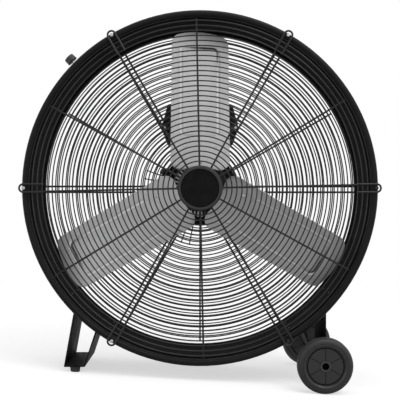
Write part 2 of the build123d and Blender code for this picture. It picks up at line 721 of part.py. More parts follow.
def run_capacitor():
    """Lies on the box's front wall, over the terminal block."""
    can = Rot(0, 90, 0) * Cylinder(CAPACITOR_R, CAPACITOR_LENGTH)
    can = fillet(can.edges(), CAPACITOR_EDGE_R)
    z = BOX_TOP_Z - (BOX_TOP_Z - BOX_BOTTOM_Z) / 3
    return Pos(0, box_front_y + BOX_WALL_T + CAPACITOR_R, z) * can


def terminal_block():
    width, depth, height = TERMINAL_BLOCK
    pitch = width / (TERMINAL_COUNT + 0.5)
    slot = Pos(0, depth / 2, 0) * Box(0.7 * pitch, depth / 2, height / 2)
    block = Box(width, depth, height)
    for n in range(TERMINAL_COUNT):
        block -= Pos(pitch * (n - (TERMINAL_COUNT - 1) / 2), 0, 0) * slot
    z = BOX_BOTTOM_Z + (BOX_TOP_Z - BOX_BOTTOM_Z) / 3
    return Pos(0, box_front_y + BOX_WALL_T + depth / 2, z) * block


def gland(length):
    """A strain relief along -Z: neck, hexagon and tapered nose, with a bore."""
    nut = Pos(0, 0, -length / 6) * extrude(RegularPolygon(GLAND_R, 6), length / 6, both=True)
    nose = Pos(0, 0, -length * 2 / 3) * Cone(GLAND_R * 0.6, GLAND_R * 0.85, length * 2 / 3)
    neck = Pos(0, 0, BOX_WALL_T / 2) * Cylinder(GLAND_BORE_R + GLAND_WALL, BOX_WALL_T)
    return nut + nose + neck - Cylinder(GLAND_BORE_R, 4 * length)


def cable_glands():
    """On the box's underside, where the mains lead enters, and on the motor's boss."""
    y = (box_front_y + box_rear_y) / 2
    boss_top = Pos(0, 0, MOTOR_R + LEAD_BOSS_H) * Rot(180, 0, 0)
    short = gland(LEAD_GLAND_LENGTH) & Pos(0, 0, -LEAD_GLAND_LENGTH) * Box(
        4 * GLAND_R, 4 * GLAND_R, 2 * LEAD_GLAND_LENGTH
    )
    return [Pos(0, y, BOX_BOTTOM_Z) * gland(GLAND_LENGTH), at_lead(boss_top * short)]


def outward(shape):
    """A shape modelled with +Z pointing away from the drum, at the speed control."""
    return turn(Rot(0, 90, 0) * shape, CONTROL_ANGLE)


def control_screw_places():
    """The two screws beside the dial."""
    x = (CONTROL_HALF_W + DIAL_R) / 2
    return [Pos(side * x, 0, control_top_r) for side in (-1, 1)]


def control_box():
    """The switch box on the drum's outside, curved to the wall and hollow."""
    foot_r = wall_out_r - 2 * CONTROL_WALL_T
    box = Pos(0, 0, (foot_r + control_top_r) / 2) * Box(
        2 * CONTROL_HALF_W, 2 * CONTROL_HALF_DEPTH, control_top_r - foot_r
    )
    box = fillet(box.edges().filter_by(Axis.Z), CONTROL_CORNER_R)
    box = fillet(box.edges().group_by(Axis.Z)[-1], CONTROL_EDGE_R)
    box += Pos(0, 0, control_top_r + TURRET_H / 2) * Cylinder(TURRET_R, TURRET_H)
    box -= at_y(0, Cylinder(wall_out_r + SEAT, 4 * CONTROL_HALF_DEPTH))
    inner_top = control_top_r - CONTROL_WALL_T
    box -= Pos(0, 0, (foot_r + inner_top) / 2) * Box(
        2 * (CONTROL_HALF_W - CONTROL_WALL_T),
        2 * (CONTROL_HALF_DEPTH - CONTROL_WALL_T),
        inner_top - foot_r,
    )
    box -= Pos(0, 0, control_top_r) * Cylinder(BUSHING_R, 4 * TURRET_H)
    for place in control_screw_places():
        box -= place * Cylinder(CLIP_SCREW_R + SEAT, 4 * CONTROL_WALL_T)
    return outward(box)


def speed_dial():
    """The ring plate round the turret under the knob."""
    dial = Pos(0, 0, control_top_r + DIAL_T / 2) * Cylinder(DIAL_R, DIAL_T)
    return outward(dial - Pos(0, 0, control_top_r) * Cylinder(TURRET_R + SEAT, 4 * DIAL_T))


def rotary_switch():
    """The switch under the box's face, with its threaded bushing through it."""
    body_top = control_top_r - CONTROL_WALL_T
    body = Pos(0, 0, body_top - SWITCH_H / 2) * Box(2 * SWITCH_HALF, 2 * SWITCH_HALF, SWITCH_H)
    bushing_top = control_top_r + TURRET_H + BUSHING_H
    body += Pos(0, 0, (body_top + bushing_top) / 2) * Cylinder(BUSHING_R, bushing_top - body_top)
    bore_h = bushing_top - body_top + SWITCH_H / 2
    return outward(body - Pos(0, 0, bushing_top - bore_h / 2) * Cylinder(KNOB_SHAFT_R + RUN, bore_h))


def switch_nut():
    low = control_top_r + TURRET_H
    nut = extrude(RegularPolygon(1.6 * BUSHING_R, 6), BUSHING_H * 0.8)
    return outward(Pos(0, 0, low) * (nut - Cylinder(BUSHING_R, 4 * BUSHING_H)))


def knob_shaft():
    low = control_top_r - CONTROL_WALL_T - SWITCH_H / 2 + SIDE_PLAY
    high = control_top_r + KNOB_LIFT + KNOB_H / 2
    return outward(Pos(0, 0, (low + high) / 2) * Cylinder(KNOB_SHAFT_R, high - low))


def speed_knob():
    """A tapered knob with a pointer groove across its top."""
    low = control_top_r + KNOB_LIFT
    knob = Pos(0, 0, low + KNOB_H / 2) * Cone(KNOB_BASE_R, KNOB_TOP_R, KNOB_H)
    knob = fillet(knob.edges().group_by(Axis.Z)[-1], KNOB_EDGE_R)
    knob -= Pos(0, KNOB_TOP_R / 2, low + KNOB_H) * Box(KNOB_MARK_W, KNOB_TOP_R, KNOB_MARK_W)
    return outward(knob - Pos(0, 0, low) * Cylinder(KNOB_SHAFT_R, KNOB_H))


def control_box_screws():
    """Screws from the box's face down to the drum's wall."""
    length = control_top_r - wall_out_r
    screw = pan_screw(CLIP_SCREW_R, length - SEAT, CLIP_SCREW_HEAD_R, CLIP_SCREW_HEAD_H / 2)
    return [outward(place * screw) for place in control_screw_places()]


def thick_line(start, end):
    """A straight stretch of strip, rounded at both ends."""
    length = hypot(end[0] - start[0], end[1] - start[1])
    tilt = degrees(atan2(end[1] - start[1], end[0] - start[0]))
    middle = ((start[0] + end[0]) / 2, (start[1] + end[1]) / 2)
    bar = Pos(*middle) * Rot(0, 0, tilt) * Rectangle(length, STRIP_T)
    return bar + Pos(*start) * Circle(STRIP_T / 2) + Pos(*end) * Circle(STRIP_T / 2)


def wall_tab(point, direction):
    """The strip's end, bent along the drum from a point on the wall."""
    start = atan2(point[1], point[0])
    end = start + radians(direction * TAB_SPAN)
    reach = 2 * wall_out_r
    wedge = Polygon(
        (0, 0),
        (reach * cos(start), reach * sin(start)),
        (reach * cos(end), reach * sin(end)),
        align=None,
    )
    return (Circle(wall_out_r + SEAT + STRIP_T) & wedge) - Circle(wall_out_r + SEAT)


def bent_strip(points, first_turn):
    """A strip that follows the points, with both ends bent along the drum's wall."""
    profile = wall_tab(points[0], first_turn) + wall_tab(points[-1], -first_turn)
    for start, end in zip(points, points[1:]):
        profile += thick_line(start, end)
    profile -= Circle(wall_out_r + SEAT)
    return extrude(Plane.XZ * profile, STRIP_HALF_DEPTH, both=True)


def stand_points():
    return [STAND_LEG_LEFT, STAND_PLATE_LEFT, STAND_PLATE_RIGHT, STAND_LEG_RIGHT]


def bracket_points():
    outer_top = (BRACKET_OUTER_X, -sqrt(wall_out_r**2 - BRACKET_OUTER_X**2))
    plate_right = (BRACKET_OUTER_X, BRACKET_PLATE_Z)
    plate_left = (BRACKET_INNER_X, BRACKET_PLATE_Z)
    return [BRACKET_INNER_TOP, plate_left, plate_right, outer_top]


def strip_screw_places():
    """Where the strips are screwed to the wall: angle ends as x and z, with y."""
    places = []
    for points in (stand_points(), bracket_points()):
        for point, direction in ((points[0], -1), (points[-1], 1)):
            angle = atan2(point[1], point[0]) + radians(direction * TAB_SPAN * TAB_SCREW_SHARE)
            for side in (-1, 1):
                places.append((cos(angle), sin(angle), side * STRIP_SCREW_Y))
    return places


def wall_screw_frame(x, z, y, radius):
    """A frame on the drum at a direction, with +Z pointing outward."""
    return Pos(x * radius, y, z * radius) * Rot(0, 90 - degrees(atan2(z, x)), 0)


def strip_screw_hole(x, z, y):
    return wall_screw_frame(x, z, y, wall_out_r) * Cylinder(STRIP_SCREW_R + SEAT, 6 * STRIP_T)


def strip_screws(places):
    head_r = wall_out_r + SEAT + STRIP_T
    length = STRIP_T + SEAT + WALL_T + SHANK_END
    screw = pan_screw(STRIP_SCREW_R, length, STRIP_SCREW_HEAD_R, STRIP_SCREW_HEAD_H)
    return [wall_screw_frame(x, z, y, head_r + SEAT) * screw for x, z, y in places]


def stand_frame():
    strip = bent_strip(stand_points(), -1)
    for x, z, y in strip_screw_places()[:4]:
        strip -= strip_screw_hole(x, z, y)
    for side in (-1, 1):
        strip -= Pos(foot_x, side * foot_y, foot_top_z) * Cylinder(FOOT_SCREW_R + SEAT, 4 * STRIP_T)
    return strip


def floor_cut(shape):
    """Trims a piece to the floor, which is tilted by the lean in the drum frame."""
    floor = Pos(foot_x, 0, foot_bottom_z) * Rot(0, lean, 0) * Pos(0, 0, -FOOT_H)
    return shape - floor * Box(8 * FOOT_TOP_R, 4 * STRIP_HALF_DEPTH, 2 * FOOT_H)


def stand_feet():
    """Tapered rubber feet, recessed for their screws."""
    height = FOOT_H + 2 * PAST
    foot = Pos(0, 0, -height / 2) * Cone(FOOT_BOTTOM_R, FOOT_TOP_R, height)
    foot -= Cylinder(FOOT_SCREW_R + SEAT, 4 * FOOT_H)
    foot -= Pos(0, 0, -FOOT_H) * Cylinder(2 * FOOT_SCREW_R, FOOT_H)
    feet = [Pos(foot_x, side * foot_y, foot_top_z) * foot for side in (-1, 1)]
    return [floor_cut(one) for one in feet]


def foot_screws():
    """From below, with their heads inside the feet, into nuts on the strip."""
    length = FOOT_H / 2 + STRIP_T + SHANK_END
    screw = pan_screw(FOOT_SCREW_R, length, 1.9 * FOOT_SCREW_R, FOOT_SCREW_R)
    screw = Rot(180, 0, 0) * screw
    place_z = foot_top_z - FOOT_H / 2
    return [Pos(foot_x, side * foot_y, place_z) * screw for side in (-1, 1)]


def wheel_bracket():
    """The bent strip with an ear at each edge that carries the axle."""
    bracket = bent_strip(bracket_points(), -1)
    x, z = WHEEL_CENTRE
    ear = Polygon(
        (BRACKET_INNER_X, BRACKET_PLATE_Z),
        (x - EAR_R, z),
        (BRACKET_OUTER_X, z),
        (BRACKET_OUTER_X, BRACKET_PLATE_Z),
        align=None,
    )
    ear = ear + Pos(x, z) * Circle(EAR_R)
    ear_y = STRIP_HALF_DEPTH - EAR_T / 2
    ear = extrude(Plane.XZ * ear, EAR_T / 2, both=True)
    bracket += Pos(0, -ear_y, 0) * ear
    bracket += Pos(0, ear_y, 0) * ear
    bracket -= Pos(x, 0, z) * Rot(90, 0, 0) * Cylinder(AXLE_R, 4 * STRIP_HALF_DEPTH)
    for place in strip_screw_places()[4:]:
        bracket -= strip_screw_hole(*place)
    return bracket


def on_axle(shape):
    """Moves a shape from the fan axis to the wheels' axle."""
    return Pos(WHEEL_CENTRE[0], 0, WHEEL_CENTRE[1]) * shape


def wheel_axle():
    half = WHEEL_CENTRE_Y + BOSS_LENGTH / 2 - AXLE_RECESS
    axle = disc(AXLE_R, -half, half)
    return on_axle(chamfer(axle.edges(), END_CHAMFER))


def push_nut_y():
    """The inner face of a push nut."""
    return WHEEL_CENTRE_Y + BOSS_LENGTH / 2 - AXLE_RECESS - END_CHAMFER - PUSH_NUT_T


def axle_push_nuts():
    low = push_nut_y()
    nut = on_axle(tube(PUSH_NUT_R, AXLE_R, low, low + PUSH_NUT_T))
    return [nut, mirror(nut, Plane.XZ)]


def axle_spacers():
    low = STRIP_HALF_DEPTH
    high = WHEEL_CENTRE_Y - BOSS_LENGTH / 2 - SIDE_PLAY
    spacer = on_axle(tube(SPACER_R, AXLE_R, low, high))
    return [spacer, mirror(spacer, Plane.XZ)]


def wheel_tyre():
    """A tyre with rounded shoulders and a bevel beside the rim."""
    section = Pos((TYRE_BORE_R + WHEEL_R) / 2, 0) * Rectangle(WHEEL_R - TYRE_BORE_R, WHEEL_WIDTH)
    corners = section.vertices().sort_by(Axis.X)
    section = chamfer(corners[:2], TYRE_LIP)
    corners = section.vertices().sort_by(Axis.X)
    section = fillet(corners[-2:], TYRE_SHOULDER_R)
    return revolve(section, Axis.Y)


def wheel_hub():
    """A moulded disc with thin radial grooves, a ring groove and a boss, the same on both faces."""
    half = RIM_WIDTH / 2
    hub = tube(TYRE_BORE_R, AXLE_R + WHEEL_RUN, -half, half)
    hub += tube(BOSS_R, AXLE_R + WHEEL_RUN, -BOSS_LENGTH / 2, BOSS_LENGTH / 2)
    groove = tube(RIM_GROOVE_OUTER_R, RIM_GROOVE_INNER_R, 0, 2 * RIM_GROOVE_DEPTH)
    slot_r = (BOSS_R + RIM_GROOVE_INNER_R) / 2
    slot_length = RIM_GROOVE_INNER_R - BOSS_R - 2 * RIB_END_GAP
    for side in (-1, 1):
        hub -= Pos(0, side * half - RIM_GROOVE_DEPTH, 0) * groove
        slot = Pos(slot_r, side * half, 0) * Box(slot_length, 2 * RIB_DEPTH, RIB_W)
        hub -= around(slot, RIB_COUNT, 30)
    return hub - disc(COUNTERBORE_R, push_nut_y() - WHEEL_CENTRE_Y - SIDE_PLAY, BOSS_LENGTH)


def wheel_parts(name, side):
    """Tyre and hub of one wheel, on its side of the bracket."""
    pieces = {name + "_tyre": wheel_tyre(), name + "_hub": wheel_hub()}
    if side < 0:
        pieces = {node: mirror(shape, Plane.XZ) for node, shape in pieces.items()}
    place = Pos(0, side * WHEEL_CENTRE_Y, 0)
    return {node: on_axle(place * shape) for node, shape in pieces.items()}


def all_parts():
    """Every node's shape, in the drum frame."""
    parts = {
        "drum_shell": drum_shell(),
        "drum_rims": drum_rims(),
        "front_guard_spokes": front_guard_spokes(),
        "front_guard_clips": front_guard_clips(),
        "front_clip_screws": clip_screws(-1),
        "front_hub_plate": front_hub_plate(),
        "hub_cap": hub_cap(),
        "hub_badge": hub_badge(),
        "rear_guard_spokes": rear_guard_spokes(),
        "rear_guard_hairpins": rear_guard_hairpins(),
        "rear_clip_screws": clip_screws(1),
        "motor_plate": motor_plate(),
        "motor_bolts": motor_bolts(),
        "motor_housing": motor_housing(),
        "motor_front_bell": motor_front_bell(),
        "motor_rear_bell": motor_rear_bell(),
        "motor_front_bearing": bearing(MOTOR_FRONT_Y + BEARING_FLOOR_T),
        "motor_rear_bearing": bearing(motor_rear_y - BELL_T),
        "motor_fins": motor_fins(),
        "stator_core": stator_core(),
        "stator_windings": stator_windings(),
        "motor_shaft": motor_shaft(),
        "rotor_core": rotor_core(),
        "blade_spider": blade_spider(),
        "blade_rivets": blade_rivets(),
        "hub_nut": hub_nut(),
        "terminal_box": terminal_box(),
        "terminal_box_cover": terminal_box_cover(),
        "terminal_box_clamps": terminal_box_clamps(),
        "terminal_box_screws": terminal_box_screws(),
        "run_capacitor": run_capacitor(),
        "terminal_block": terminal_block(),
        "cable_gland": cable_glands(),
        "control_box": control_box(),
        "control_box_screws": control_box_screws(),
        "rotary_switch": rotary_switch(),
        "switch_nut": switch_nut(),
        "speed_dial": speed_dial(),
        "speed_knob": speed_knob(),
        "knob_shaft": knob_shaft(),
        "stand_frame": stand_frame(),
        "stand_screws": strip_screws(strip_screw_places()[:4]),
        "stand_feet": stand_feet(),
        "foot_screws": foot_screws(),
        "wheel_bracket": wheel_bracket(),
        "bracket_screws": strip_screws(strip_screw_places()[4:]),
        "wheel_axle": wheel_axle(),
        "axle_spacers": axle_spacers(),
        "axle_push_nuts": axle_push_nuts(),
    }
    front = (front_ring_first_r, front_ring_pitch, FRONT_RING_COUNT, FRONT_WIRE_R, ring_y)
    rear = (rear_ring_first_r, rear_ring_pitch, REAR_RING_COUNT, REAR_WIRE_R, rear_ring_y)
    parts.update(guard_rings("front_guard", *front))
    parts.update(guard_rings("rear_guard", *rear))
    one_blade = blade()
    for n in range(BLADE_COUNT):
        parts[f"blade_{n + 1}"] = turn(one_blade, 360 / BLADE_COUNT * n)
    parts.update(wheel_parts("front_wheel", -1))
    parts.update(wheel_parts("rear_wheel", 1))
    return parts


def stand_up(shape):
    """Moves a piece from the drum frame to the row frame."""
    return Pos(0, 0, axis_height) * turn(shape, lean)


def main():
    os.makedirs("parts", exist_ok=True)
    for node, shape in all_parts().items():
        solids = shape if isinstance(shape, list) else [shape]
        placed = [solid for one in solids for solid in stand_up(one).solids()]
        export_step(placed[0] if len(placed) == 1 else Compound(children=placed), f"parts/{node}.step")
    print("lean", round(lean, 3), "axis height", round(axis_height, 2))


main()
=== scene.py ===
import json
from math import asin, atan2, cos, pi, radians, sin, sqrt

import bmesh
import bpy
from mathutils import Matrix, Vector


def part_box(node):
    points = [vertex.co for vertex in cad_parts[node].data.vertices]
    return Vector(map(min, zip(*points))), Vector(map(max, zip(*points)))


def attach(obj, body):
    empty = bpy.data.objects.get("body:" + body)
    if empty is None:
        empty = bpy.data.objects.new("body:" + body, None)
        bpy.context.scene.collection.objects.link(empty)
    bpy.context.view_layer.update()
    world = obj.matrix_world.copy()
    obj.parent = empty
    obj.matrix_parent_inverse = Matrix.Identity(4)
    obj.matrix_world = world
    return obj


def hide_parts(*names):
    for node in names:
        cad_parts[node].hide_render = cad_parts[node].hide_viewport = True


# Drum fan: finishes, trim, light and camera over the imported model.
# Lengths are in millimetres unless a name ends in _M, and every mesh is stored in metres. The drum
# frame has its origin on the fan axis at the drum's middle, with +X right, +Y rear and +Z up.

MM = 0.001

# The part's own sizes, as its source has them
WALL_OUT_R = 399.0
FRONT_Y = -120.0
REAR_Y = 120.0
RING_WIRE_R = 1.5
FRONT_RING_RADII = (62.1, 386.6)    # first and last
FRONT_RING_COUNT = 29
REAR_RING_RADII = (64.4, 389.6)
REAR_RING_COUNT = 38
SPOKE_COUNT = 12
SPOKE_TURN = 1.2        # degrees, counter-clockwise from the clips
CLIP_COUNT = 6
CLIP_HALF_SPACING = 9.1
CLIP_INNER_R = 361.0
HAIRPIN_HALF_SPACING = 7.4
STRUT_PAIRS = 4
STRUT_ANGLE = 74.7      # of the first pair's middle
STRUT_HALF_TURN = 4.3
STRUT_RINGS = slice(1, 10)
BLADE_COUNT = 3
BLADE_PLANE_Y = -15.0
BLADE_PITCH = 20.0
BLADE_TIP_R = 378.5
BLADE_TIP_ARC_R = 200.0
BLADE_ROOT_V = 52.0
BLADE_ROOT_ARC_R = 145.0
BLADE_ROOT_HALF_W = 77.5
BLADE_TIP_HALF_W = 71.0
BLADE_ROOT_CORNER_R = 26.0
BLADE_TIP_CORNER_R = 24.0
BLADE_T = 2.0
BLADE_CAMBER_R = 620.0
PANEL_ROOT_V = 126.0
PANEL_TIP_V = 343.0
PANEL_HALF_W = 47.5
PANEL_CORNER_R = 14.0
RIVET_INNER_V = 63.0
RIVET_OUTER_V = 99.0
RIVET_OUTER_U = 38.5
RIVET_R = 2.5
RIVET_HEAD_R = 4.6
ARM_T = 4.0
CONTROL_ANGLE = 135.0
DIAL_FACE_R = 425.0
KNOB_LOW_R = 438.6
KNOB_BASE_R = 13.4
KNOB_TOP_R = 12.4
KNOB_H = 15.0
WHEEL_R = 62.5
WHEEL_WIDTH = 35.0
TYRE_BORE_R = 43.5
TYRE_SHOULDER_R = 11.0
TYRE_ROUND = 4.2        # of the tyre's inner edges, over the hub's recessed face
WHEEL_FACE_Y = 13.0     # of the hub's faces, from the wheel's middle
WHEEL_BOSS_R = 12.0

# Trim that only the scene has
PRESS_HALF_W = 5.8      # of the pressed line on each blade
PRESS_DEPTH = 0.55      # at the panel's root end
PRESS_DEEPER = 0.6      # added at the tip end's middle, and twice that at its right corner
PRESS_STEPS = 12
PANEL_GROWS = (-47.2, -42.0, -34.0, -26.0, -19.0, -13.0, -8.0)  # loops inside the pressed line
PANEL_LEAST_R = 0.2     # corner radius of the innermost loops
BORDER_GROW = 1.5       # of the flat border, outside the pressed line
BORDER_SHARES = (0.25, 0.5, 0.75, 0.93, 0.985)  # loops from the border to the blade's edge
EDGE_EASE = 0.35        # of the blade's cut edge
SHADE_REACH = 34.0      # of the painted shade in the pressed line, from the panel's tip end
SHADE_GROW = -2.2       # its middle, on the line's inner wall
SHADE_HALF_W = 3.0
SHADE_MIDDLE = 0.75     # its amount at the tip end's middle
SHADE_SLOPE = 1.2       # how fast it grows to the right
SHADE_SIDES = 0.16      # its amount along the panel's sides
HIGHLIGHT_GROW = 2.4       # middle of the stripe of painted highlight, on the walls that look to the right
HIGHLIGHT_HALF_W = 3.2
SIDE_START = 5.0        # the stripe sets in this far inside the panel's side
SIDE_FADE = 4.0
RIVET_DOME_H = 2.4
RIVET_DOME_ANGLES = (0.0, 0.3, 0.6, 0.9, 1.2, 1.45)
RIVET_UPSET_H = 1.6
RIVET_UPSET_EASE = 0.6
RIVET_UPSET_SHARE = 0.8
RIVET_GAP = 0.1         # from the sheets to the heads
RIVET_STEPS = 20
NUGGET_R = 2.4          # weld at each wire crossing
NUGGET_HALF_T = 1.1
NUGGET_RISES = (-0.92, -0.4, 0.4, 0.92)
NUGGET_STEPS = 8
SEAM_ANGLE = 268.0      # the drum's lap joint, underneath
SEAM_HALF_W = 9.0
SEAM_HALF_DEPTH = 62.0
SEAM_T = 0.9
SEAM_SINK = 0.4
SEAM_STEPS = 8
SPOT_R = 2.6
SPOT_COUNT = 9
SPOT_REACH = 0.88       # of the row of spots, as a share of the seam's depth
SPOT_PROFILE = ((1.0, -0.3), (0.86, 0.28), (0.6, 0.42), (0.3, 0.25))  # shares of SPOT_R, heights
SPOT_STEPS = 16
TREAD_GROOVE_HALF_W = 1.1
TREAD_GROOVE_DEPTH = 1.5
TREAD_GROOVES = (-4.6, 0.0, 4.6)
TREAD_GROOVE_SHAPE = ((-1.0, 0), (-0.55, 1), (0.55, 1), (1.0, 0))  # shares of half width, depth
BEAD_LINE = ((51.0, 0.0), (50.6, 0.5), (49.9, 0.5), (49.5, 0.0))  # radius, depth in the side
TYRE_FIT = 0.1          # from the hub to the tyre's bore
TYRE_STEP = 0.3         # of the straight bore beside the rounded edge
TYRE_STEPS = 120
SHOULDER_STEPS = 9
ROUND_STEPS = 8
FLUTE_COUNT = 24
FLUTE_DEPTH = 0.55
FLUTE_STEPS = 6
POINTER_HALF_W = 0.7
POINTER_INNER_R = 3.4
POINTER_END = 1.6       # from its end to the knob's rim
POINTER_SINK = 0.7
POINTER_RISE = 0.1
BAR_EASE = 0.2          # as a share of a bar's lesser width
TICK_HALF_W = 0.35
TICK_INNER_R = 14.4
TICK_OUTER_R = 16.3
NUMERAL_R = 18.1
NUMERAL_H_M = 0.0026
FONT_SIZE_PER_H = 1.4
PRINT_T = 0.12
PRINT_SINK = 0.05
DIAL_COUNT = 4
DIAL_STEP = 45.0        # degrees between speeds
FIN_PAINT_Y = 30.5      # the fins' paint ends this deep in the drum
FIN_UNSHADED_TILT = 25.0    # the direction of the fins left bare, below the left; the others get painted shade

# Camera, as a point of the drum frame, and its lens
CAMERA_Y = -2120.0
CAMERA_Z = -27.4
CAMERA_LENS = 78.26
CAMERA_SENSOR = 36.0

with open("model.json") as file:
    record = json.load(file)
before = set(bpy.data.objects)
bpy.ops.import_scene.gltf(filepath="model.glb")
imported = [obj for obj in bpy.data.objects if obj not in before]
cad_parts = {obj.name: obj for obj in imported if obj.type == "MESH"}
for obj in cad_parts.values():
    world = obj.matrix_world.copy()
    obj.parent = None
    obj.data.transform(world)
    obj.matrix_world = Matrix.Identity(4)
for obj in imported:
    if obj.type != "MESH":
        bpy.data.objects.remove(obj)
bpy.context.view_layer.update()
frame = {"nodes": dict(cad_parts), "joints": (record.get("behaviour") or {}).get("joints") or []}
joints = {joint["name"]: joint for joint in frame["joints"]}
fan_axis = Vector(joints["fan_spin"]["pos_m"])
knob_axis = Vector(joints["speed_knob_turn"]["axis"])
lean = atan2(knob_axis.z, knob_axis.x) - radians(CONTROL_ANGLE)
DRUM = Matrix.Translation(fan_axis) @ Matrix.Rotation(-lean, 4, "Y")


def turned(degrees_round):
    """A turn about the fan axis, counter-clockwise as seen from the front."""
    return Matrix.Rotation(-radians(degrees_round), 4, "Y")


# ---------------------------------------------------------------- finishes


class Nodes:
    """Short calls for building a node tree."""

    def __init__(self, tree):
        self.tree = tree

    def feed(self, socket, source):
        if isinstance(source, bpy.types.NodeSocket):
            self.tree.links.new(source, socket)
        elif isinstance(source, tuple) and len(source) == 3 and socket.type == "RGBA":
            socket.default_value = (*source, 1.0)
        else:
            socket.default_value = source

    def add(self, kind, inputs=None, **settings):
        node = self.tree.nodes.new(kind)
        for key, value in settings.items():
            setattr(node, key, value)
        for name, source in (inputs or {}).items():
            self.feed(node.inputs[name], source)
        return node

    def sum(self, operation, *values):
        node = self.add("ShaderNodeMath", operation=operation)
        for socket, value in zip(node.inputs, values):
            self.feed(socket, value)
        return node.outputs[0]

    def span(self, value, low, high, to_low=0.0, to_high=1.0, smooth=False):
        """The value brought from one range to another, clamped."""
        kind = "SMOOTHSTEP" if smooth else "LINEAR"
        names = ("Value", "From Min", "From Max", "To Min", "To Max")
        inputs = dict(zip(names, (value, low, high, to_low, to_high)))
        return self.add("ShaderNodeMapRange", inputs, interpolation_type=kind).outputs[0]

    def blend(self, factor, first, second):
        node = self.add("ShaderNodeMix", data_type="RGBA")
        for index, source in ((0, factor), (6, first), (7, second)):
            self.feed(node.inputs[index], source)
        return node.outputs[2]

    def part_of(self, vector, name):
        return self.add("ShaderNodeSeparateXYZ", {0: vector}).outputs[name]

    def reach(self, vector, axes):
        """The vector's length over two of its axes."""
        squares = [self.sum("POWER", self.part_of(vector, axis), 2.0) for axis in axes]
        return self.sum("SQRT", self.sum("ADD", *squares))

    def dot(self, first, second):
        node = self.add("ShaderNodeVectorMath", {0: first, 1: second}, operation="DOT_PRODUCT")
        return node.outputs["Value"]


class Finish(Nodes):
    """A procedural material. Its textures lie in the object's own metres: a noise's scale counts
    its waves in a metre, and a span's levels say which part of the noise shows. Colours are linear.
    """

    def __init__(self, name, **sockets):
        self.material = bpy.data.materials.new("finish_" + name)
        self.material.use_nodes = True
        super().__init__(self.material.node_tree)
        self.shader = self.tree.nodes["Principled BSDF"]
        self.place = self.add("ShaderNodeTexCoord").outputs["Object"]
        self.geometry = self.add("ShaderNodeNewGeometry")
        self.relief = None
        for key, value in sockets.items():
            self.shader.inputs[key.replace("_", " ")].default_value = value

    def from_point(self, point):
        """The place as seen from a point of the object's frame."""
        return self.add("ShaderNodeVectorMath", {0: self.place, 1: tuple(-point)}).outputs[0]

    def stretched(self, *scale):
        return self.add("ShaderNodeMapping", {"Vector": self.place, "Scale": scale}).outputs[0]

    def noise(self, scale, detail=3.0, rough=0.5, place=None):
        inputs = {"Vector": place or self.place, "Scale": scale, "Detail": detail}
        return self.add("ShaderNodeTexNoise", {**inputs, "Roughness": rough}).outputs[0]

    def spots(self, scale):
        inputs = {"Vector": self.place, "Scale": scale}
        return self.add("ShaderNodeTexVoronoi", inputs).outputs["Distance"]

    def bump(self, height, distance_mm, strength=1.0):
        inputs = {"Height": height, "Distance": distance_mm * MM, "Strength": strength}
        node = self.add("ShaderNodeBump", inputs)
        if self.relief:
            self.feed(node.inputs["Normal"], self.relief)
        self.relief = node.outputs[0]

    def worn_edges(self, radius_mm, grain=260.0):
        """1 along sharp outer edges, broken up by a fine noise."""
        soft = self.add("ShaderNodeBevel", {"Radius": radius_mm * MM}, samples=4).outputs[0]
        edge = self.span(self.dot(soft, self.geometry.outputs["Normal"]), 0.985, 0.86)
        return self.sum("MULTIPLY", edge, self.span(self.noise(grain, 4), 0.42, 0.66))

    def facing_up(self):
        return self.span(self.part_of(self.geometry.outputs["Normal"], "Z"), 0.35, 1.0, smooth=True)

    def done(self, colour, rough):
        self.feed(self.shader.inputs["Base Color"], colour)
        self.feed(self.shader.inputs["Roughness"], rough)
        if self.relief:
            self.feed(self.shader.inputs["Normal"], self.relief)
        return self.material


PEEL_MM = 0.05          # depth of a coat's orange peel
GRIT_SCALE = 4200.0
GRIT_MM = 0.012
GRIT_STRENGTH = 0.6


def powder_coat(name, dark, light, rough, shine, dust=0.0, wear=0.0, grain_mm=1.3):
    """Baked coat: soft mottling, orange peel, fine grit, dust on top faces and rubbed edges."""
    made = Finish(name, IOR=1.5, Specular_IOR_Level=shine)
    cloud = made.noise(9.0, 4, 0.6)
    colour = made.blend(made.span(cloud, 0.35, 0.68), dark, light)
    gloss = made.span(made.noise(22.0, 5, 0.65), 0.3, 0.7, *rough)
    if dust:
        patch = made.span(made.noise(34.0, 6, 0.7), 0.38, 0.7)
        film = made.sum("MULTIPLY", made.sum("MULTIPLY", made.facing_up(), patch), dust)
        colour = made.blend(film, colour, (0.20, 0.19, 0.175))
        gloss = made.sum("ADD", gloss, made.sum("MULTIPLY", film, 0.3))
    if wear:
        wear_and_painted_highlight = made.sum("MULTIPLY", made.worn_edges(1.2), wear)
        colour = made.blend(wear_and_painted_highlight, colour, (0.19, 0.185, 0.18))
        gloss = made.sum("SUBTRACT", gloss, made.sum("MULTIPLY", wear_and_painted_highlight, 0.12))
    made.bump(made.noise(1000 / grain_mm, 2, 0.4), PEEL_MM)
    made.bump(made.noise(GRIT_SCALE, 1), GRIT_MM, GRIT_STRENGTH)
    return made.done(colour, gloss)


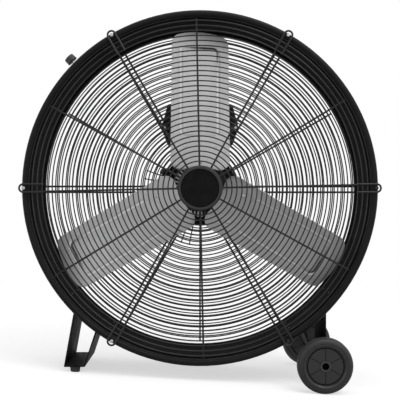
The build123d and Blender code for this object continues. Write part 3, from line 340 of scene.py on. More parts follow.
def drum_wall():
    """The drum's coat: dull inside the wall, where air has scoured it, with more shine outside, and
    painted shade that leaves the inside of the wall darker in colour than the outside.
    """
    made = Finish("drum_wall", IOR=1.5, Specular_IOR_Level=0.07)
    facing = made.dot(made.from_point(fan_axis), made.geometry.outputs["Normal"])
    outside = made.span(facing, -0.05, 0.05)
    cloud = made.noise(9.0, 4, 0.6)
    colour = made.blend(made.span(cloud, 0.35, 0.68), (0.006, 0.006, 0.007), (0.010, 0.010, 0.011))
    streak = made.noise(1.0, 5, 0.7, made.stretched(30.0, 5.0, 30.0))
    colour = made.blend(made.span(streak, 0.5, 0.75, 0.0, 0.25), colour, (0.022, 0.021, 0.02))
    # Painted shade: the outside gets a lighter colour, so the inside of the wall reads darker
    colour = made.blend(made.sum("MULTIPLY", outside, 0.5), colour, (0.013, 0.013, 0.014))
    made.bump(made.noise(770.0, 2, 0.4), PEEL_MM)
    made.bump(made.noise(GRIT_SCALE, 1), GRIT_MM, GRIT_STRENGTH)
    gloss = made.span(cloud, 0.3, 0.7, 0.86, 0.98)
    gloss = made.sum("SUBTRACT", gloss, made.sum("MULTIPLY", outside, 0.45))
    return made.done(colour, gloss)


SPARK_MM = 0.7          # grain of a mould's eroded face


def moulded(name, dark, light, rough=(0.36, 0.48), spark_mm=SPARK_MM, depth=0.03, wear=0.0):
    """Moulded plastic: spark-eroded grain, faint flow marks and finger shine."""
    made = Finish(name, IOR=1.47)
    flow = made.noise(14.0, 5, 0.6, made.stretched(1.0, 1.0, 0.35))
    colour = made.blend(made.span(flow, 0.3, 0.7), dark, light)
    gloss = made.span(made.noise(40.0, 4, 0.6), 0.32, 0.68, *rough)
    if wear:
        wear_and_painted_highlight = made.sum("MULTIPLY", made.worn_edges(0.8, 420.0), wear)
        colour = made.blend(wear_and_painted_highlight, colour, (0.13, 0.13, 0.13))
    made.bump(made.spots(1000 / spark_mm), depth)
    return made.done(colour, gloss)


def rubber(name, dark, light, rough=(0.62, 0.8)):
    """Matt rubber with a chalky bloom, pores and scuffs."""
    made = Finish(name, IOR=1.5)
    bloom = made.span(made.noise(26.0, 6, 0.68), 0.36, 0.72)
    scuff = made.span(made.noise(90.0, 6, 0.75, made.stretched(1.0, 3.0, 1.0)), 0.56, 0.7)
    colour = made.blend(bloom, dark, light)
    colour = made.blend(made.sum("MULTIPLY", scuff, 0.35), colour, (0.085, 0.08, 0.074))
    made.bump(made.noise(1500.0, 2), 0.06)
    made.bump(scuff, 0.05, 0.5)
    return made.done(colour, made.span(bloom, 0, 1, *rough))


def plated(name, dark, light, rough, cloud, tint=None, metallic=1.0):
    """Zinc or bright steel: cloudy plating, fine tool marks."""
    made = Finish(name, Metallic=metallic)
    haze = made.span(made.noise(cloud, 5, 0.65), 0.3, 0.7)
    colour = made.blend(haze, dark, light)
    if tint:
        film = made.span(made.noise(cloud * 0.45, 3), 0.42, 0.66, 0.0, 0.6)
        colour = made.blend(film, colour, tint)
    made.bump(made.noise(2600.0, 2), 0.01)
    made.bump(made.noise(900.0, 3, 0.5, made.stretched(1.0, 0.12, 1.0)), 0.012)
    return made.done(colour, made.span(made.noise(cloud * 1.7, 4), 0.3, 0.7, *rough))


def splashed_zinc():
    """Zinc plating on the clips' screws, with painted shade that makes those on the drum's lower
    right near black.
    """
    made = Finish("splashed_zinc", Metallic=1.0)
    # Painted shade: the screws low on the right take a near-black colour
    clear = made.sum("SUBTRACT", made.part_of(made.place, "Z"), made.part_of(made.place, "X"))
    clear = made.span(clear, 0.1, 0.25)
    colour = made.blend(made.noise(420.0, 4, 0.6), (0.5, 0.5, 0.5), (0.7, 0.7, 0.69))
    colour = made.blend(clear, (0.05, 0.05, 0.048), colour)
    made.bump(made.noise(900.0, 3, 0.5), 0.012)
    return made.done(colour, made.span(made.noise(600.0, 4), 0.3, 0.7, 0.26, 0.4))


def painted_casting(name, dark, light, rough, shine):
    """Sprayed casting: pebbled skin and stains."""
    made = Finish(name, Specular_IOR_Level=shine)
    stain = made.span(made.noise(55.0, 6, 0.7), 0.34, 0.7)
    pebble = made.noise(620.0, 3, 0.55)
    made.bump(pebble, 0.12)
    made.bump(made.noise(170.0, 2), 0.24, 0.5)
    return made.done(made.blend(stain, dark, light), made.span(pebble, 0.3, 0.7, *rough))


def blade_sheet():
    """Satin sheet metal, rolled along the blade's length (the object's own Y). The mesh says where
    the pressed line gets painted shade: a near-black line at its tip end and a faint one on its
    walls that look to the left. It also says where the walls that look to the right get a painted
    highlight, a near-white stripe.
    """
    made = Finish("blade_metal")
    grain = made.noise(1.0, 5, 0.6, made.stretched(1500.0, 22.0, 60.0))
    streak = made.noise(1.0, 4, 0.55, made.stretched(210.0, 4.0, 40.0))
    haze = made.noise(13.0, 5, 0.6)
    colour = made.blend(made.span(haze, 0.3, 0.72), (0.62, 0.625, 0.63), (0.7, 0.7, 0.695))
    colour = made.blend(made.span(streak, 0.35, 0.7, 0.0, 0.25), colour, (0.55, 0.55, 0.555))
    scratch = made.noise(1.0, 2, 0.5, made.stretched(900.0, 9.0, 60.0))
    colour = made.blend(made.span(scratch, 0.68, 0.74, 0.0, 0.4), colour, (0.82, 0.82, 0.81))
    # Painted shade: a near-black line in the pressed line's tip end, and a faint one on its walls
    # that look to the left
    painted_shade = made.add("ShaderNodeAttribute", attribute_name="painted_shade").outputs["Fac"]
    painted_shade = made.sum("MULTIPLY", painted_shade, made.span(made.noise(60.0, 4, 0.6), 0.2, 0.5, 0.75, 1.0))
    colour = made.blend(painted_shade, colour, (0.012, 0.012, 0.012))
    # Painted highlight: a near-white stripe on the pressed line's walls that look to the right
    wear_and_painted_highlight = made.add("ShaderNodeAttribute", attribute_name="wear_and_painted_highlight").outputs["Fac"]
    dulled = [made.sum("MULTIPLY", mark, share) for mark, share in ((painted_shade, 0.8), (wear_and_painted_highlight, 0.25))]
    metallic = made.sum("SUBTRACT", 1.0, made.sum("MAXIMUM", *dulled))
    made.feed(made.shader.inputs["Metallic"], metallic)
    colour = made.blend(wear_and_painted_highlight, colour, (0.99, 0.99, 0.98))
    made.bump(grain, 0.01)
    made.bump(haze, 0.2, 0.3)
    gloss = made.span(streak, 0.3, 0.7, 0.3, 0.37)
    gloss = made.sum("ADD", gloss, made.span(haze, 0.3, 0.7, -0.03, 0.04))
    gloss = made.sum("ADD", gloss, made.sum("MULTIPLY", painted_shade, 0.3))
    return made.done(colour, gloss)


def fin_casting():
    """Fins bare on their fronts, with paint between them, and painted shade, the paint's near-black
    colour, on the fronts of the fins away from the lower left.
    """
    made = Finish("fin_metal")
    stain = made.span(made.noise(55.0, 6, 0.7), 0.34, 0.7)
    bare_and_unshaded = made.span(made.part_of(made.place, "Y"), FIN_PAINT_Y * MM, (FIN_PAINT_Y - 1.0) * MM)
    # Painted shade: the fins that don't face this way take the near-black paint on their fronts
    tilt = radians(FIN_UNSHADED_TILT)
    toward = made.dot(made.from_point(fan_axis), (-cos(tilt), 0.0, -sin(tilt)))
    patch = made.sum("ADD", toward, made.span(made.noise(90.0, 4, 0.6), 0.3, 0.7, -0.006, 0.006))
    bare_and_unshaded = made.sum("MULTIPLY", bare_and_unshaded, made.span(patch, 0.008, 0.024, smooth=True))
    metal = made.blend(stain, (0.62, 0.62, 0.62), (0.8, 0.8, 0.79))
    made.feed(made.shader.inputs["Metallic"], bare_and_unshaded)
    made.bump(made.noise(620.0, 3, 0.55), 0.04)
    colour = made.blend(bare_and_unshaded, (0.012, 0.012, 0.013), metal)
    return made.done(colour, made.span(stain, 0, 1, 0.32, 0.46))


SHEETS_PER_M = 2000.0   # of the laminated cores


def laminated():
    """Stacked sheets, seen as lines square to the fan axis."""
    made = Finish("core_steel", Metallic=1.0)
    line = made.sum("FRACT", made.sum("MULTIPLY", made.part_of(made.place, "Y"), SHEETS_PER_M))
    gap = made.span(line, 0.86, 0.98)
    stain = made.span(made.noise(60.0, 5, 0.65), 0.35, 0.7)
    colour = made.blend(stain, (0.16, 0.155, 0.15), (0.30, 0.29, 0.28))
    colour = made.blend(gap, colour, (0.03, 0.03, 0.03))
    made.bump(made.sum("SUBTRACT", 1.0, gap), 0.05)
    return made.done(colour, made.span(stain, 0, 1, 0.4, 0.6))


WIRES_PER_M = 1100.0    # turns of the windings


def wound():
    """Enamelled wire laid round the axis."""
    made = Finish("winding_copper", Metallic=1.0, Coat_Weight=0.6, Coat_Roughness=0.15)
    around = made.reach(made.from_point(fan_axis), "XZ")
    wire = made.sum("SINE", made.sum("MULTIPLY", around, 2 * pi * WIRES_PER_M))
    shade = made.noise(75.0, 4, 0.6)
    colour = made.blend(made.span(shade, 0.3, 0.7), (0.36, 0.11, 0.045), (0.55, 0.20, 0.075))
    colour = made.blend(made.span(wire, -1.0, -0.3, 0.5, 0.0), colour, (0.09, 0.03, 0.015))
    made.bump(wire, 0.2)
    return made.done(colour, made.span(shade, 0.3, 0.7, 0.28, 0.4))


def tyre_finish():
    """Rubber, chalky on the tread and the wall, smooth and shiny on the rounded inner edge, which
    also takes a lighter colour as a painted highlight.
    """
    made = Finish("tyre_side", IOR=1.5)
    lip_r = TYRE_BORE_R + TYRE_ROUND
    lip = made.span(made.reach(made.place, "XY"), (lip_r + 1.0) * MM, (lip_r - 0.6) * MM)
    bloom = made.span(made.noise(26.0, 6, 0.68), 0.36, 0.72)
    scuff = made.span(made.noise(90.0, 6, 0.75, made.stretched(1.0, 1.0, 3.0)), 0.56, 0.7)
    colour = made.blend(bloom, (0.011, 0.011, 0.011), (0.019, 0.018, 0.017))
    colour = made.blend(made.sum("MULTIPLY", scuff, 0.3), colour, (0.07, 0.066, 0.06))
    # Painted highlight: the rounded inner edge takes a lighter colour
    colour = made.blend(made.sum("MULTIPLY", lip, 0.7), colour, (0.03, 0.03, 0.03))
    made.bump(made.noise(1500.0, 2), 0.05)
    gloss = made.span(bloom, 0, 1, 0.46, 0.62)
    return made.done(colour, made.sum("SUBTRACT", gloss, made.sum("MULTIPLY", lip, 0.26)))


def wheel_finish(name, centre):
    """Moulded hub with painted shade, near black, on every face sunk behind its front faces, and a
    lighter boss.
    """
    made = Finish(name + "_plastic", IOR=1.47)
    offset = made.from_point(centre)
    around = made.reach(offset, "XZ")
    from_middle = made.sum("ABSOLUTE", made.part_of(offset, "Y"))
    flow = made.noise(14.0, 5, 0.6, made.stretched(1.0, 1.0, 0.35))
    colour = made.blend(made.span(flow, 0.3, 0.7), (0.018, 0.018, 0.019), (0.026, 0.026, 0.027))
    boss = made.span(around, (WHEEL_BOSS_R + 0.4) * MM, (WHEEL_BOSS_R - 1.2) * MM)
    colour = made.blend(made.sum("MULTIPLY", boss, 0.6), colour, (0.06, 0.06, 0.06))
    # Painted shade: grooves, bore and other faces sunk behind the front faces go near black
    recess_shade = made.span(from_middle, (WHEEL_FACE_Y - 0.1) * MM, (WHEEL_FACE_Y - 0.9) * MM)
    colour = made.blend(made.sum("MULTIPLY", recess_shade, 0.92), colour, (0.002, 0.002, 0.002))
    made.bump(made.spots(1000 / SPARK_MM), 0.03)
    gloss = made.span(made.noise(40.0, 4, 0.6), 0.32, 0.68, 0.34, 0.48)
    return made.done(colour, made.sum("ADD", gloss, made.sum("MULTIPLY", recess_shade, 0.4)))


def badge():
    """The bare glossy disc: hard lacquer with hairlines and a faint wave."""
    made = Finish("badge_gloss", IOR=1.5, Specular_IOR_Level=0.07)
    haze = made.span(made.noise(45.0, 4, 0.6), 0.3, 0.7)
    hairline = made.span(made.noise(1.0, 3, 0.6, made.stretched(900.0, 60.0, 120.0)), 0.6, 0.7)
    colour = made.blend(haze, (0.004, 0.004, 0.005), (0.008, 0.008, 0.009))
    made.bump(made.noise(60.0, 1), 0.05, 0.4)
    gloss = made.sum("ADD", made.span(haze, 0, 1, 0.1, 0.16), made.sum("MULTIPLY", hairline, 0.12))
    return made.done(colour, gloss)


def print_ink():
    """White printing on the dial and the knob's line."""
    made = Finish("print_ink", IOR=1.45)
    patch = made.span(made.noise(900.0, 4, 0.6), 0.3, 0.7)
    made.bump(patch, 0.02)
    colour = made.blend(patch, (0.62, 0.62, 0.6), (0.78, 0.78, 0.76))
    return made.done(colour, made.span(patch, 0, 1, 0.4, 0.55))


finishes = {
    "drum_paint": powder_coat(
        "drum_paint",
        (0.008, 0.008, 0.009), (0.012, 0.012, 0.013), (0.4, 0.52), 0.12, dust=0.08, wear=0.25
    ),
    "guard_paint": powder_coat(
        "guard_paint",
        (0.010, 0.010, 0.011), (0.016, 0.016, 0.017), (0.3, 0.42), 0.42, dust=0.1, grain_mm=0.9
    ),
    "stand_paint": powder_coat(
        "stand_paint",
        (0.004, 0.004, 0.005), (0.008, 0.008, 0.009), (0.55, 0.7), 0.05, dust=0.1, wear=0.35
    ),
    "cap_plastic": moulded(
        "cap_plastic", (0.022, 0.022, 0.023), (0.03, 0.03, 0.031), (0.3, 0.42)
    ),
    "badge_gloss": badge(),
    "blade_metal": blade_sheet(),
    "spider_steel": plated(
        "spider_steel", (0.36, 0.36, 0.35), (0.52, 0.52, 0.5), (0.36, 0.52), 70.0
    ),
    "rivet_steel": plated(
        "rivet_steel", (0.82, 0.82, 0.82), (0.92, 0.92, 0.92), (0.2, 0.3), 300.0, metallic=0.45
    ),
    "screw_zinc": plated(
        "screw_zinc", (0.6, 0.61, 0.62), (0.78, 0.78, 0.78), (0.2, 0.36), 420.0, (0.7, 0.66, 0.5)
    ),
    "motor_paint": painted_casting(
        "motor_paint", (0.005, 0.005, 0.006), (0.010, 0.010, 0.011), (0.5, 0.64), 0.15
    ),
    "fin_metal": fin_casting(),
    "bearing_steel": plated(
        "bearing_steel", (0.45, 0.45, 0.45), (0.6, 0.6, 0.61), (0.16, 0.3), 220.0
    ),
    "core_steel": laminated(),
    "winding_copper": wound(),
    "box_plastic": moulded(
        "box_plastic", (0.02, 0.02, 0.021), (0.03, 0.03, 0.031), (0.42, 0.56), 0.9, 0.05, wear=0.3
    ),
    "switch_plastic": moulded(
        "switch_plastic", (0.03, 0.03, 0.032), (0.045, 0.045, 0.047), (0.4, 0.5)
    ),
    "capacitor_shell": moulded(
        "capacitor_shell", (0.62, 0.62, 0.6), (0.72, 0.72, 0.7), (0.28, 0.4), 1.4, 0.015
    ),
    "dial_plate": moulded(
        "dial_plate", (0.014, 0.014, 0.015), (0.02, 0.02, 0.021), (0.34, 0.44), 0.5, 0.01
    ),
    "knob_plastic": moulded(
        "knob_plastic", (0.013, 0.013, 0.014), (0.02, 0.02, 0.021), wear=0.3
    ),
    "foot_rubber": rubber("foot_rubber", (0.02, 0.02, 0.02), (0.036, 0.035, 0.034)),
    "tyre_rubber": rubber("tyre_rubber", (0.02, 0.02, 0.02), (0.032, 0.031, 0.03), (0.4, 0.55)),
    "wheel_plastic": moulded(
        "wheel_plastic", (0.028, 0.028, 0.029), (0.04, 0.04, 0.041), (0.3, 0.44)
    ),
}
ink = print_ink()

for thing in frame["nodes"].values():
    for slot in thing.material_slots:
        slot.material = finishes[slot.material.name]

# Nodes that look different from the rest of their slot
black_zinc = plated("black_zinc", (0.02, 0.02, 0.02), (0.045, 0.045, 0.044), (0.3, 0.44), 420.0)
# Painted shade: the axle and its push nuts, whose ends sit deep in the hubs' bores, take a
# near-black colour
painted_shade_steel = plated("black_steel_painted_shade", (0.002, 0.002, 0.002), (0.005, 0.005, 0.005), (0.4, 0.55), 420.0)
own_finishes = {
    "drum_shell": drum_wall(),
    "front_clip_screws": splashed_zinc(),
    "stand_screws": black_zinc,
    "foot_screws": black_zinc,
    "bracket_screws": black_zinc,
    "axle_push_nuts": painted_shade_steel,
    "wheel_axle": painted_shade_steel,
}
wheel_centres = {}
for name in ("front_wheel", "rear_wheel"):
    low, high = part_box(name + "_tyre")
    wheel_centres[name] = (low + high) / 2
    own_finishes[name + "_hub"] = wheel_finish(name, wheel_centres[name])
for name, finish in own_finishes.items():
    for slot in frame["nodes"][name].material_slots:
        slot.material = finish


# ---------------------------------------------------------------- pieces


def piece(name, points, faces, slot, body, place=DRUM, material=None, sharp=32.0):
    """A mesh object from points in millimetres of a frame, riding on a body."""
    mesh = bpy.data.meshes.new(name)
    mesh.from_pydata([Vector(point) * MM for point in points], [], faces)
    work = bmesh.new()
    work.from_mesh(mesh)
    bmesh.ops.recalc_face_normals(work, faces=work.faces)
    work.to_mesh(mesh)
    work.free()
    mesh.shade_smooth()
    mesh.set_sharp_from_angle(angle=radians(sharp))
    return set_in(name, mesh, slot, body, place, material)


def set_in(name, mesh, slot, body, place, material=None):
    """An object with the slot's finish, or another material, riding on a body."""
    thing = bpy.data.objects.new(name, mesh)
    bpy.context.scene.collection.objects.link(thing)
    thing.matrix_world = place
    mesh.materials.clear()
    mesh.materials.append(material or finishes[slot])
    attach(thing, body)
    return thing


def skin(rings, closed=False, caps=False):
    """Points and faces over rings of equal length; closed joins the last ring to the first."""
    count = len(rings[0])
    points = [point for ring in rings for point in ring]
    faces = []
    for first in range(len(rings) if closed else len(rings) - 1):
        second = (first + 1) % len(rings)
        for n in range(count):
            m = (n + 1) % count
            faces.append(
                (first * count + n, first * count + m, second * count + m, second * count + n)
            )
    if caps:
        faces.append(tuple(reversed(range(count))))
        faces.append(tuple(range((len(rings) - 1) * count, len(rings) * count)))
    return points, faces


def lathe(profile, steps, caps=False):
    """A profile of (radius, height) turned about Z."""
    rings = []
    for radius, height in profile:
        ring = []
        for n in range(steps):
            angle = 2 * pi * n / steps
            ring.append((radius * cos(angle), radius * sin(angle), height))
        rings.append(ring)
    return skin(rings, closed=not caps, caps=caps)


def merged(parts):
    """Several (points, faces) as one."""
    points, faces = [], []
    for more_points, more_faces in parts:
        start = len(points)
        points += more_points
        faces += [tuple(start + index for index in face) for face in more_faces]
    return points, faces


def moved(matrix, part):
    """A (points, faces) pair moved by a matrix whose translation is in millimetres."""
    points, faces = part
    return [tuple(matrix @ Vector(point)) for point in points], faces


def in_mm(matrix):
    """A placement in metres, for points in millimetres."""
    return Matrix.Translation(matrix.translation / MM) @ matrix.to_3x3().to_4x4()


def arc(centre, radius, first, last, count):
    """Points along a circle, by angles in radians."""
    step = (last - first) / count
    return [
        (centre[0] + radius * cos(first + step * n), centre[1] + radius * sin(first + step * n))
        for n in range(count + 1)
    ]


def between(first, last, count):
    """Points inside a straight side, without its ends."""
    return [
        (
            first[0] + (last[0] - first[0]) * n / (count + 1),
            first[1] + (last[1] - first[1]) * n / (count + 1),
        )
        for n in range(1, count + 1)
    ]


# Blades: a pressed sheet with a smooth sunk line round its panel

CORNER_STEPS = 8
SHORT_STEPS = 14
LONG_STEPS = 30
CORNER_TRIES = 12       # rounds that bring a corner's centre to rest


def closed_loop(corners, tip=None, root=None):
    """Four corner arcs (lower right, upper right, upper left, lower left) and the sides between."""
    curved = {1: tip, 3: root}
    sides = []
    for n, corner in enumerate(corners):
        following = corners[(n + 1) % 4]
        count = LONG_STEPS if n % 2 == 0 else SHORT_STEPS
        sides += corner + (curved.get(n) or between(corner[-1], following[0], count))
    return sides


def panel_loop(grow):
    """The panel's outline, moved outward by grow."""
    half_w = PANEL_HALF_W + grow
    radius = max(PANEL_CORNER_R + grow, PANEL_LEAST_R)
    low, high = PANEL_ROOT_V - grow + radius, PANEL_TIP_V + grow - radius
    across = half_w - radius
    places = ((across, low, -90), (across, high, 0), (-across, high, 90), (-across, low, 180))
    return closed_loop(
        [arc((u, v), radius, radians(a), radians(a + 90), CORNER_STEPS) for u, v, a in places]
    )


def outline_loop():
    """The blade's edge: tapered sides, a hollow root, an arched tip and four round corners."""
    taper = (BLADE_ROOT_HALF_W - BLADE_TIP_HALF_W) / (BLADE_TIP_R + BLADE_TIP_HALF_W)
    side = atan2(taper, 1.0)

    def corner_centre(arc_v, reach, radius):
        v = arc_v + reach
        for _ in range(CORNER_TRIES):
            u = BLADE_ROOT_HALF_W - taper * v - radius * sqrt(1 + taper * taper)
            v = arc_v + sqrt(reach * reach - u * u)
        return u, v

    root_arc_v = BLADE_ROOT_V - BLADE_ROOT_ARC_R
    tip_arc_v = BLADE_TIP_R - BLADE_TIP_ARC_R
    root = corner_centre(root_arc_v, BLADE_ROOT_ARC_R + BLADE_ROOT_CORNER_R, BLADE_ROOT_CORNER_R)
    tip = corner_centre(tip_arc_v, BLADE_TIP_ARC_R - BLADE_TIP_CORNER_R, BLADE_TIP_CORNER_R)
    root_turn = atan2(root[1] - root_arc_v, root[0])
    tip_turn = atan2(tip[1] - tip_arc_v, tip[0])
    right = [
        arc(root, BLADE_ROOT_CORNER_R, root_turn - pi, side, CORNER_STEPS),
        arc(tip, BLADE_TIP_CORNER_R, side, tip_turn, CORNER_STEPS),
    ]
    left = [[(-u, v) for u, v in reversed(corner)] for corner in reversed(right)]
    tip_side = arc((0, tip_arc_v), BLADE_TIP_ARC_R, tip_turn, pi - tip_turn, SHORT_STEPS + 1)
    root_side = arc((0, root_arc_v), BLADE_ROOT_ARC_R, pi - root_turn, root_turn, SHORT_STEPS + 1)
    return closed_loop(right + left, tip_side[1:-1], root_side[1:-1])


def mixed(first, second, share):
    """A loop part of the way from one to another."""
    return [
        (a[0] + (b[0] - a[0]) * share, a[1] + (b[1] - a[1]) * share)
        for a, b in zip(first, second)
    ]


def clamped(value):
    return min(max(value, 0), 1)


def stripe(grow, middle, half_w):
    """1 at the middle of a stripe beside the pressed line, 0 at its edges."""
    return max(1 - ((grow - middle) / half_w) ** 2, 0)


def sheet_depth(u):
    """How far the hollow face stands to the front of the blade's middle at u."""
    return BLADE_CAMBER_R - sqrt(BLADE_CAMBER_R**2 - u * u)


def press_depth(u, v):
    """How far the pressed line's bottom lies behind the sheet."""
    tipward = clamped((v - PANEL_TIP_V) / PANEL_HALF_W + 1)
    return PRESS_DEPTH + PRESS_DEEPER * tipward * (1 + u / PANEL_HALF_W)


def line_marks(loop, grow):
    """The amounts of painted shade and of painted highlight at each point of a loop on the front.
    """
    painted_shade, wear_and_painted_highlight = [], []
    for u, v in loop:
        tip = clamped((v - PANEL_TIP_V) / SHADE_REACH + 1)
        tip *= clamped(SHADE_MIDDLE + SHADE_SLOPE * u / PANEL_HALF_W)
        side = clamped((abs(u) - PANEL_HALF_W - grow + SIDE_START) / SIDE_FADE) * (1 - tip)
        rightward = -grow if u > 0 else grow
        # Painted shade at the tip end and on the walls that look to the left; painted highlight on
        # the walls that look to the right
        at_tip = sqrt(stripe(grow, SHADE_GROW, SHADE_HALF_W)) * tip
        at_side = stripe(rightward, -HIGHLIGHT_GROW, HIGHLIGHT_HALF_W) * side * SHADE_SIDES
        painted_shade.append(max(at_tip, at_side))
        wear_and_painted_highlight.append(stripe(rightward, HIGHLIGHT_GROW, HIGHLIGHT_HALF_W) * side)
    return painted_shade, wear_and_painted_highlight


def blade_mesh():
    """The sheet in its own frame: u across, v along the radius, w to the front."""
    edge = outline_loop()
    border = panel_loop(PRESS_HALF_W + BORDER_GROW)
    grows = [*PANEL_GROWS]
    grows += [PRESS_HALF_W * (2 * n / PRESS_STEPS - 1) for n in range(PRESS_STEPS + 1)]
    loops = []
    for grow in grows:
        pressed = 0.5 + 0.5 * cos(pi * grow / PRESS_HALF_W) if abs(grow) < PRESS_HALF_W else 0.0
        loops.append((panel_loop(grow), pressed))
    loops.append((border, 0.0))
    loops += [(mixed(border, edge, share), 0.0) for share in BORDER_SHARES]

    def lifted(loop, pressed, below=0.0):
        return [(u, v, sheet_depth(u) - pressed * press_depth(u, v) - below) for u, v in loop]

    front = [lifted(loop, pressed) for loop, pressed in loops]
    rim = [lifted(edge, 0.0, EDGE_EASE), lifted(edge, 0.0, BLADE_T - EDGE_EASE)]
    back = [lifted(loop, pressed, BLADE_T) for loop, pressed in reversed(loops)]
    points, faces = skin(front + rim + back, caps=True)
    marks = {"painted_shade": [0.0] * len(points), "wear_and_painted_highlight": [0.0] * len(points)}
    for n, grow in enumerate(grows):
        first = n * len(edge)
        for mark, values in zip(("painted_shade", "wear_and_painted_highlight"), line_marks(loops[n][0], grow)):
            marks[mark][first:first + len(edge)] = values
    return points, faces, marks


points, faces, marks = blade_mesh()
blade_places = []
stand_blade = Matrix(((1, 0, 0, 0), (0, 0, -1, BLADE_PLANE_Y * MM), (0, 1, 0, 0), (0, 0, 0, 1)))
for n in range(BLADE_COUNT):
    pitched = stand_blade @ Matrix.Rotation(radians(BLADE_PITCH), 4, "Y")
    place = DRUM @ turned(360 / BLADE_COUNT * n) @ pitched
    sheet = piece(f"pressed_blade_{n + 1}", points, faces, "blade_metal", "rotor", place)
    for mark, values in marks.items():
        sheet.data.attributes.new(mark, "FLOAT", "POINT").data.foreach_set("value", values)
    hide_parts(f"blade_{n + 1}")
    blade_places.append(place)


def rivet_mesh():
    """A domed head on the sheet, a shank and an upset head behind the arm."""
    back = -BLADE_T - ARM_T
    dome = [
        (RIVET_HEAD_R * cos(angle), RIVET_GAP + RIVET_DOME_H * sin(angle))
        for angle in RIVET_DOME_ANGLES
    ]
    upset = [
        (RIVET_HEAD_R * RIVET_UPSET_SHARE, back - RIVET_UPSET_H),
        (RIVET_HEAD_R, back - RIVET_UPSET_H + RIVET_UPSET_EASE),
        (RIVET_HEAD_R, back - RIVET_GAP),
    ]
    shank = [(RIVET_R, back - RIVET_GAP), (RIVET_R, RIVET_GAP)]
    return lathe(upset + shank + dome, RIVET_STEPS, caps=True)


heads = []
for place in blade_places:
    local = DRUM.inverted() @ place
    outer = [(side * RIVET_OUTER_U, RIVET_OUTER_V) for side in (-1, 1)]
    for u, v in ((0, RIVET_INNER_V), *outer):
        square = Matrix.Rotation(-asin(u / BLADE_CAMBER_R), 4, "Y")
        spot = Matrix.Translation((u, v, sheet_depth(u))) @ square
        heads.append(moved(in_mm(local) @ spot, rivet_mesh()))
rivets = piece("domed_rivets", *merged(heads), "rivet_steel", "rotor")
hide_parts("blade_rivets")


# Welds at the guards' crossings


def nugget():
    """A small flattened bead, round about Y."""
    rings = []
    for rise in NUGGET_RISES:
        radius = NUGGET_R * sqrt(1 - rise * rise)
        angles = [2 * pi * n / NUGGET_STEPS for n in range(NUGGET_STEPS)]
        rings.append([(radius * cos(a), NUGGET_HALF_T * rise, radius * sin(a)) for a in angles])
    return skin(rings, caps=True)


def crossings(angles, offsets, radii, y):
    """A nugget where each straight wire, offset sideways, crosses each ring."""
    made = []
    for angle in angles:
        for offset in offsets:
            for radius in radii:
                along = sqrt(radius * radius - offset * offset)
                place = turned(angle) @ Matrix.Translation((along, y, offset))
                made.append(moved(place, nugget()))
    return made


def ring_radii(ends, count):
    """Equal steps from the first ring to the last."""
    return [ends[0] + (ends[1] - ends[0]) * n / (count - 1) for n in range(count)]


front_radii = ring_radii(FRONT_RING_RADII, FRONT_RING_COUNT)
rear_radii = ring_radii(REAR_RING_RADII, REAR_RING_COUNT)
ring_contact_y = FRONT_Y + 2 * RING_WIRE_R
spoke_angles = [360 / SPOKE_COUNT * n + SPOKE_TURN for n in range(SPOKE_COUNT)]
clip_angles = [360 / CLIP_COUNT * n for n in range(CLIP_COUNT)]
rear_spoke_angles = [angle + 180 / CLIP_COUNT for angle in clip_angles]
strut_angles = [
    360 / STRUT_PAIRS * n + STRUT_ANGLE + side * STRUT_HALF_TURN
    for n in range(STRUT_PAIRS)
    for side in (-1, 1)
]
clip_radii = [radius for radius in front_radii if radius > CLIP_INNER_R]
piece(
    "front_guard_welds",
    *merged(
        crossings(spoke_angles, (0,), front_radii, ring_contact_y)
        + crossings(clip_angles, (-CLIP_HALF_SPACING, CLIP_HALF_SPACING), clip_radii, FRONT_Y)
    ),
    "guard_paint",
    "drum",
)
piece(
    "rear_guard_welds",
    *merged(
        crossings(rear_spoke_angles, (0,), rear_radii, REAR_Y)
        + crossings(clip_angles, (-HAIRPIN_HALF_SPACING, HAIRPIN_HALF_SPACING), rear_radii, REAR_Y)
        + crossings(strut_angles, (0,), rear_radii[STRUT_RINGS], REAR_Y)
    ),
    "guard_paint",
    "drum",
)


# Lap joint of the drum's wall, with its spot welds


def lap_seam():
    """A thin strip bent to the wall, and a row of spot welds on it."""
    half = SEAM_HALF_W / WALL_OUT_R
    rings = []
    for y in (-SEAM_HALF_DEPTH, SEAM_HALF_DEPTH):
        ring = []
        for radius, direction in ((WALL_OUT_R - SEAM_SINK, 1), (WALL_OUT_R + SEAM_T, -1)):
            for n in range(SEAM_STEPS + 1):
                angle = radians(SEAM_ANGLE) + direction * half * (2 * n / SEAM_STEPS - 1)
                ring.append((radius * cos(angle), y, radius * sin(angle)))
        rings.append(ring)
    parts = [skin(rings, caps=True)]
    profile = [(SPOT_R * share, height) for share, height in SPOT_PROFILE]
    for n in range(SPOT_COUNT):
        y = SEAM_HALF_DEPTH * SPOT_REACH * (2 * n / (SPOT_COUNT - 1) - 1)
        place = (
            turned(SEAM_ANGLE)
            @ Matrix.Translation((WALL_OUT_R + SEAM_T, y, 0))
            @ Matrix.Rotation(radians(90), 4, "Y")
        )
        parts.append(moved(place, lathe(profile, SPOT_STEPS, caps=True)))
    return merged(parts)


piece("drum_lap_seam", *lap_seam(), "drum_paint", "drum")


# Tyres: tread grooves, bead line and a rounded inner edge


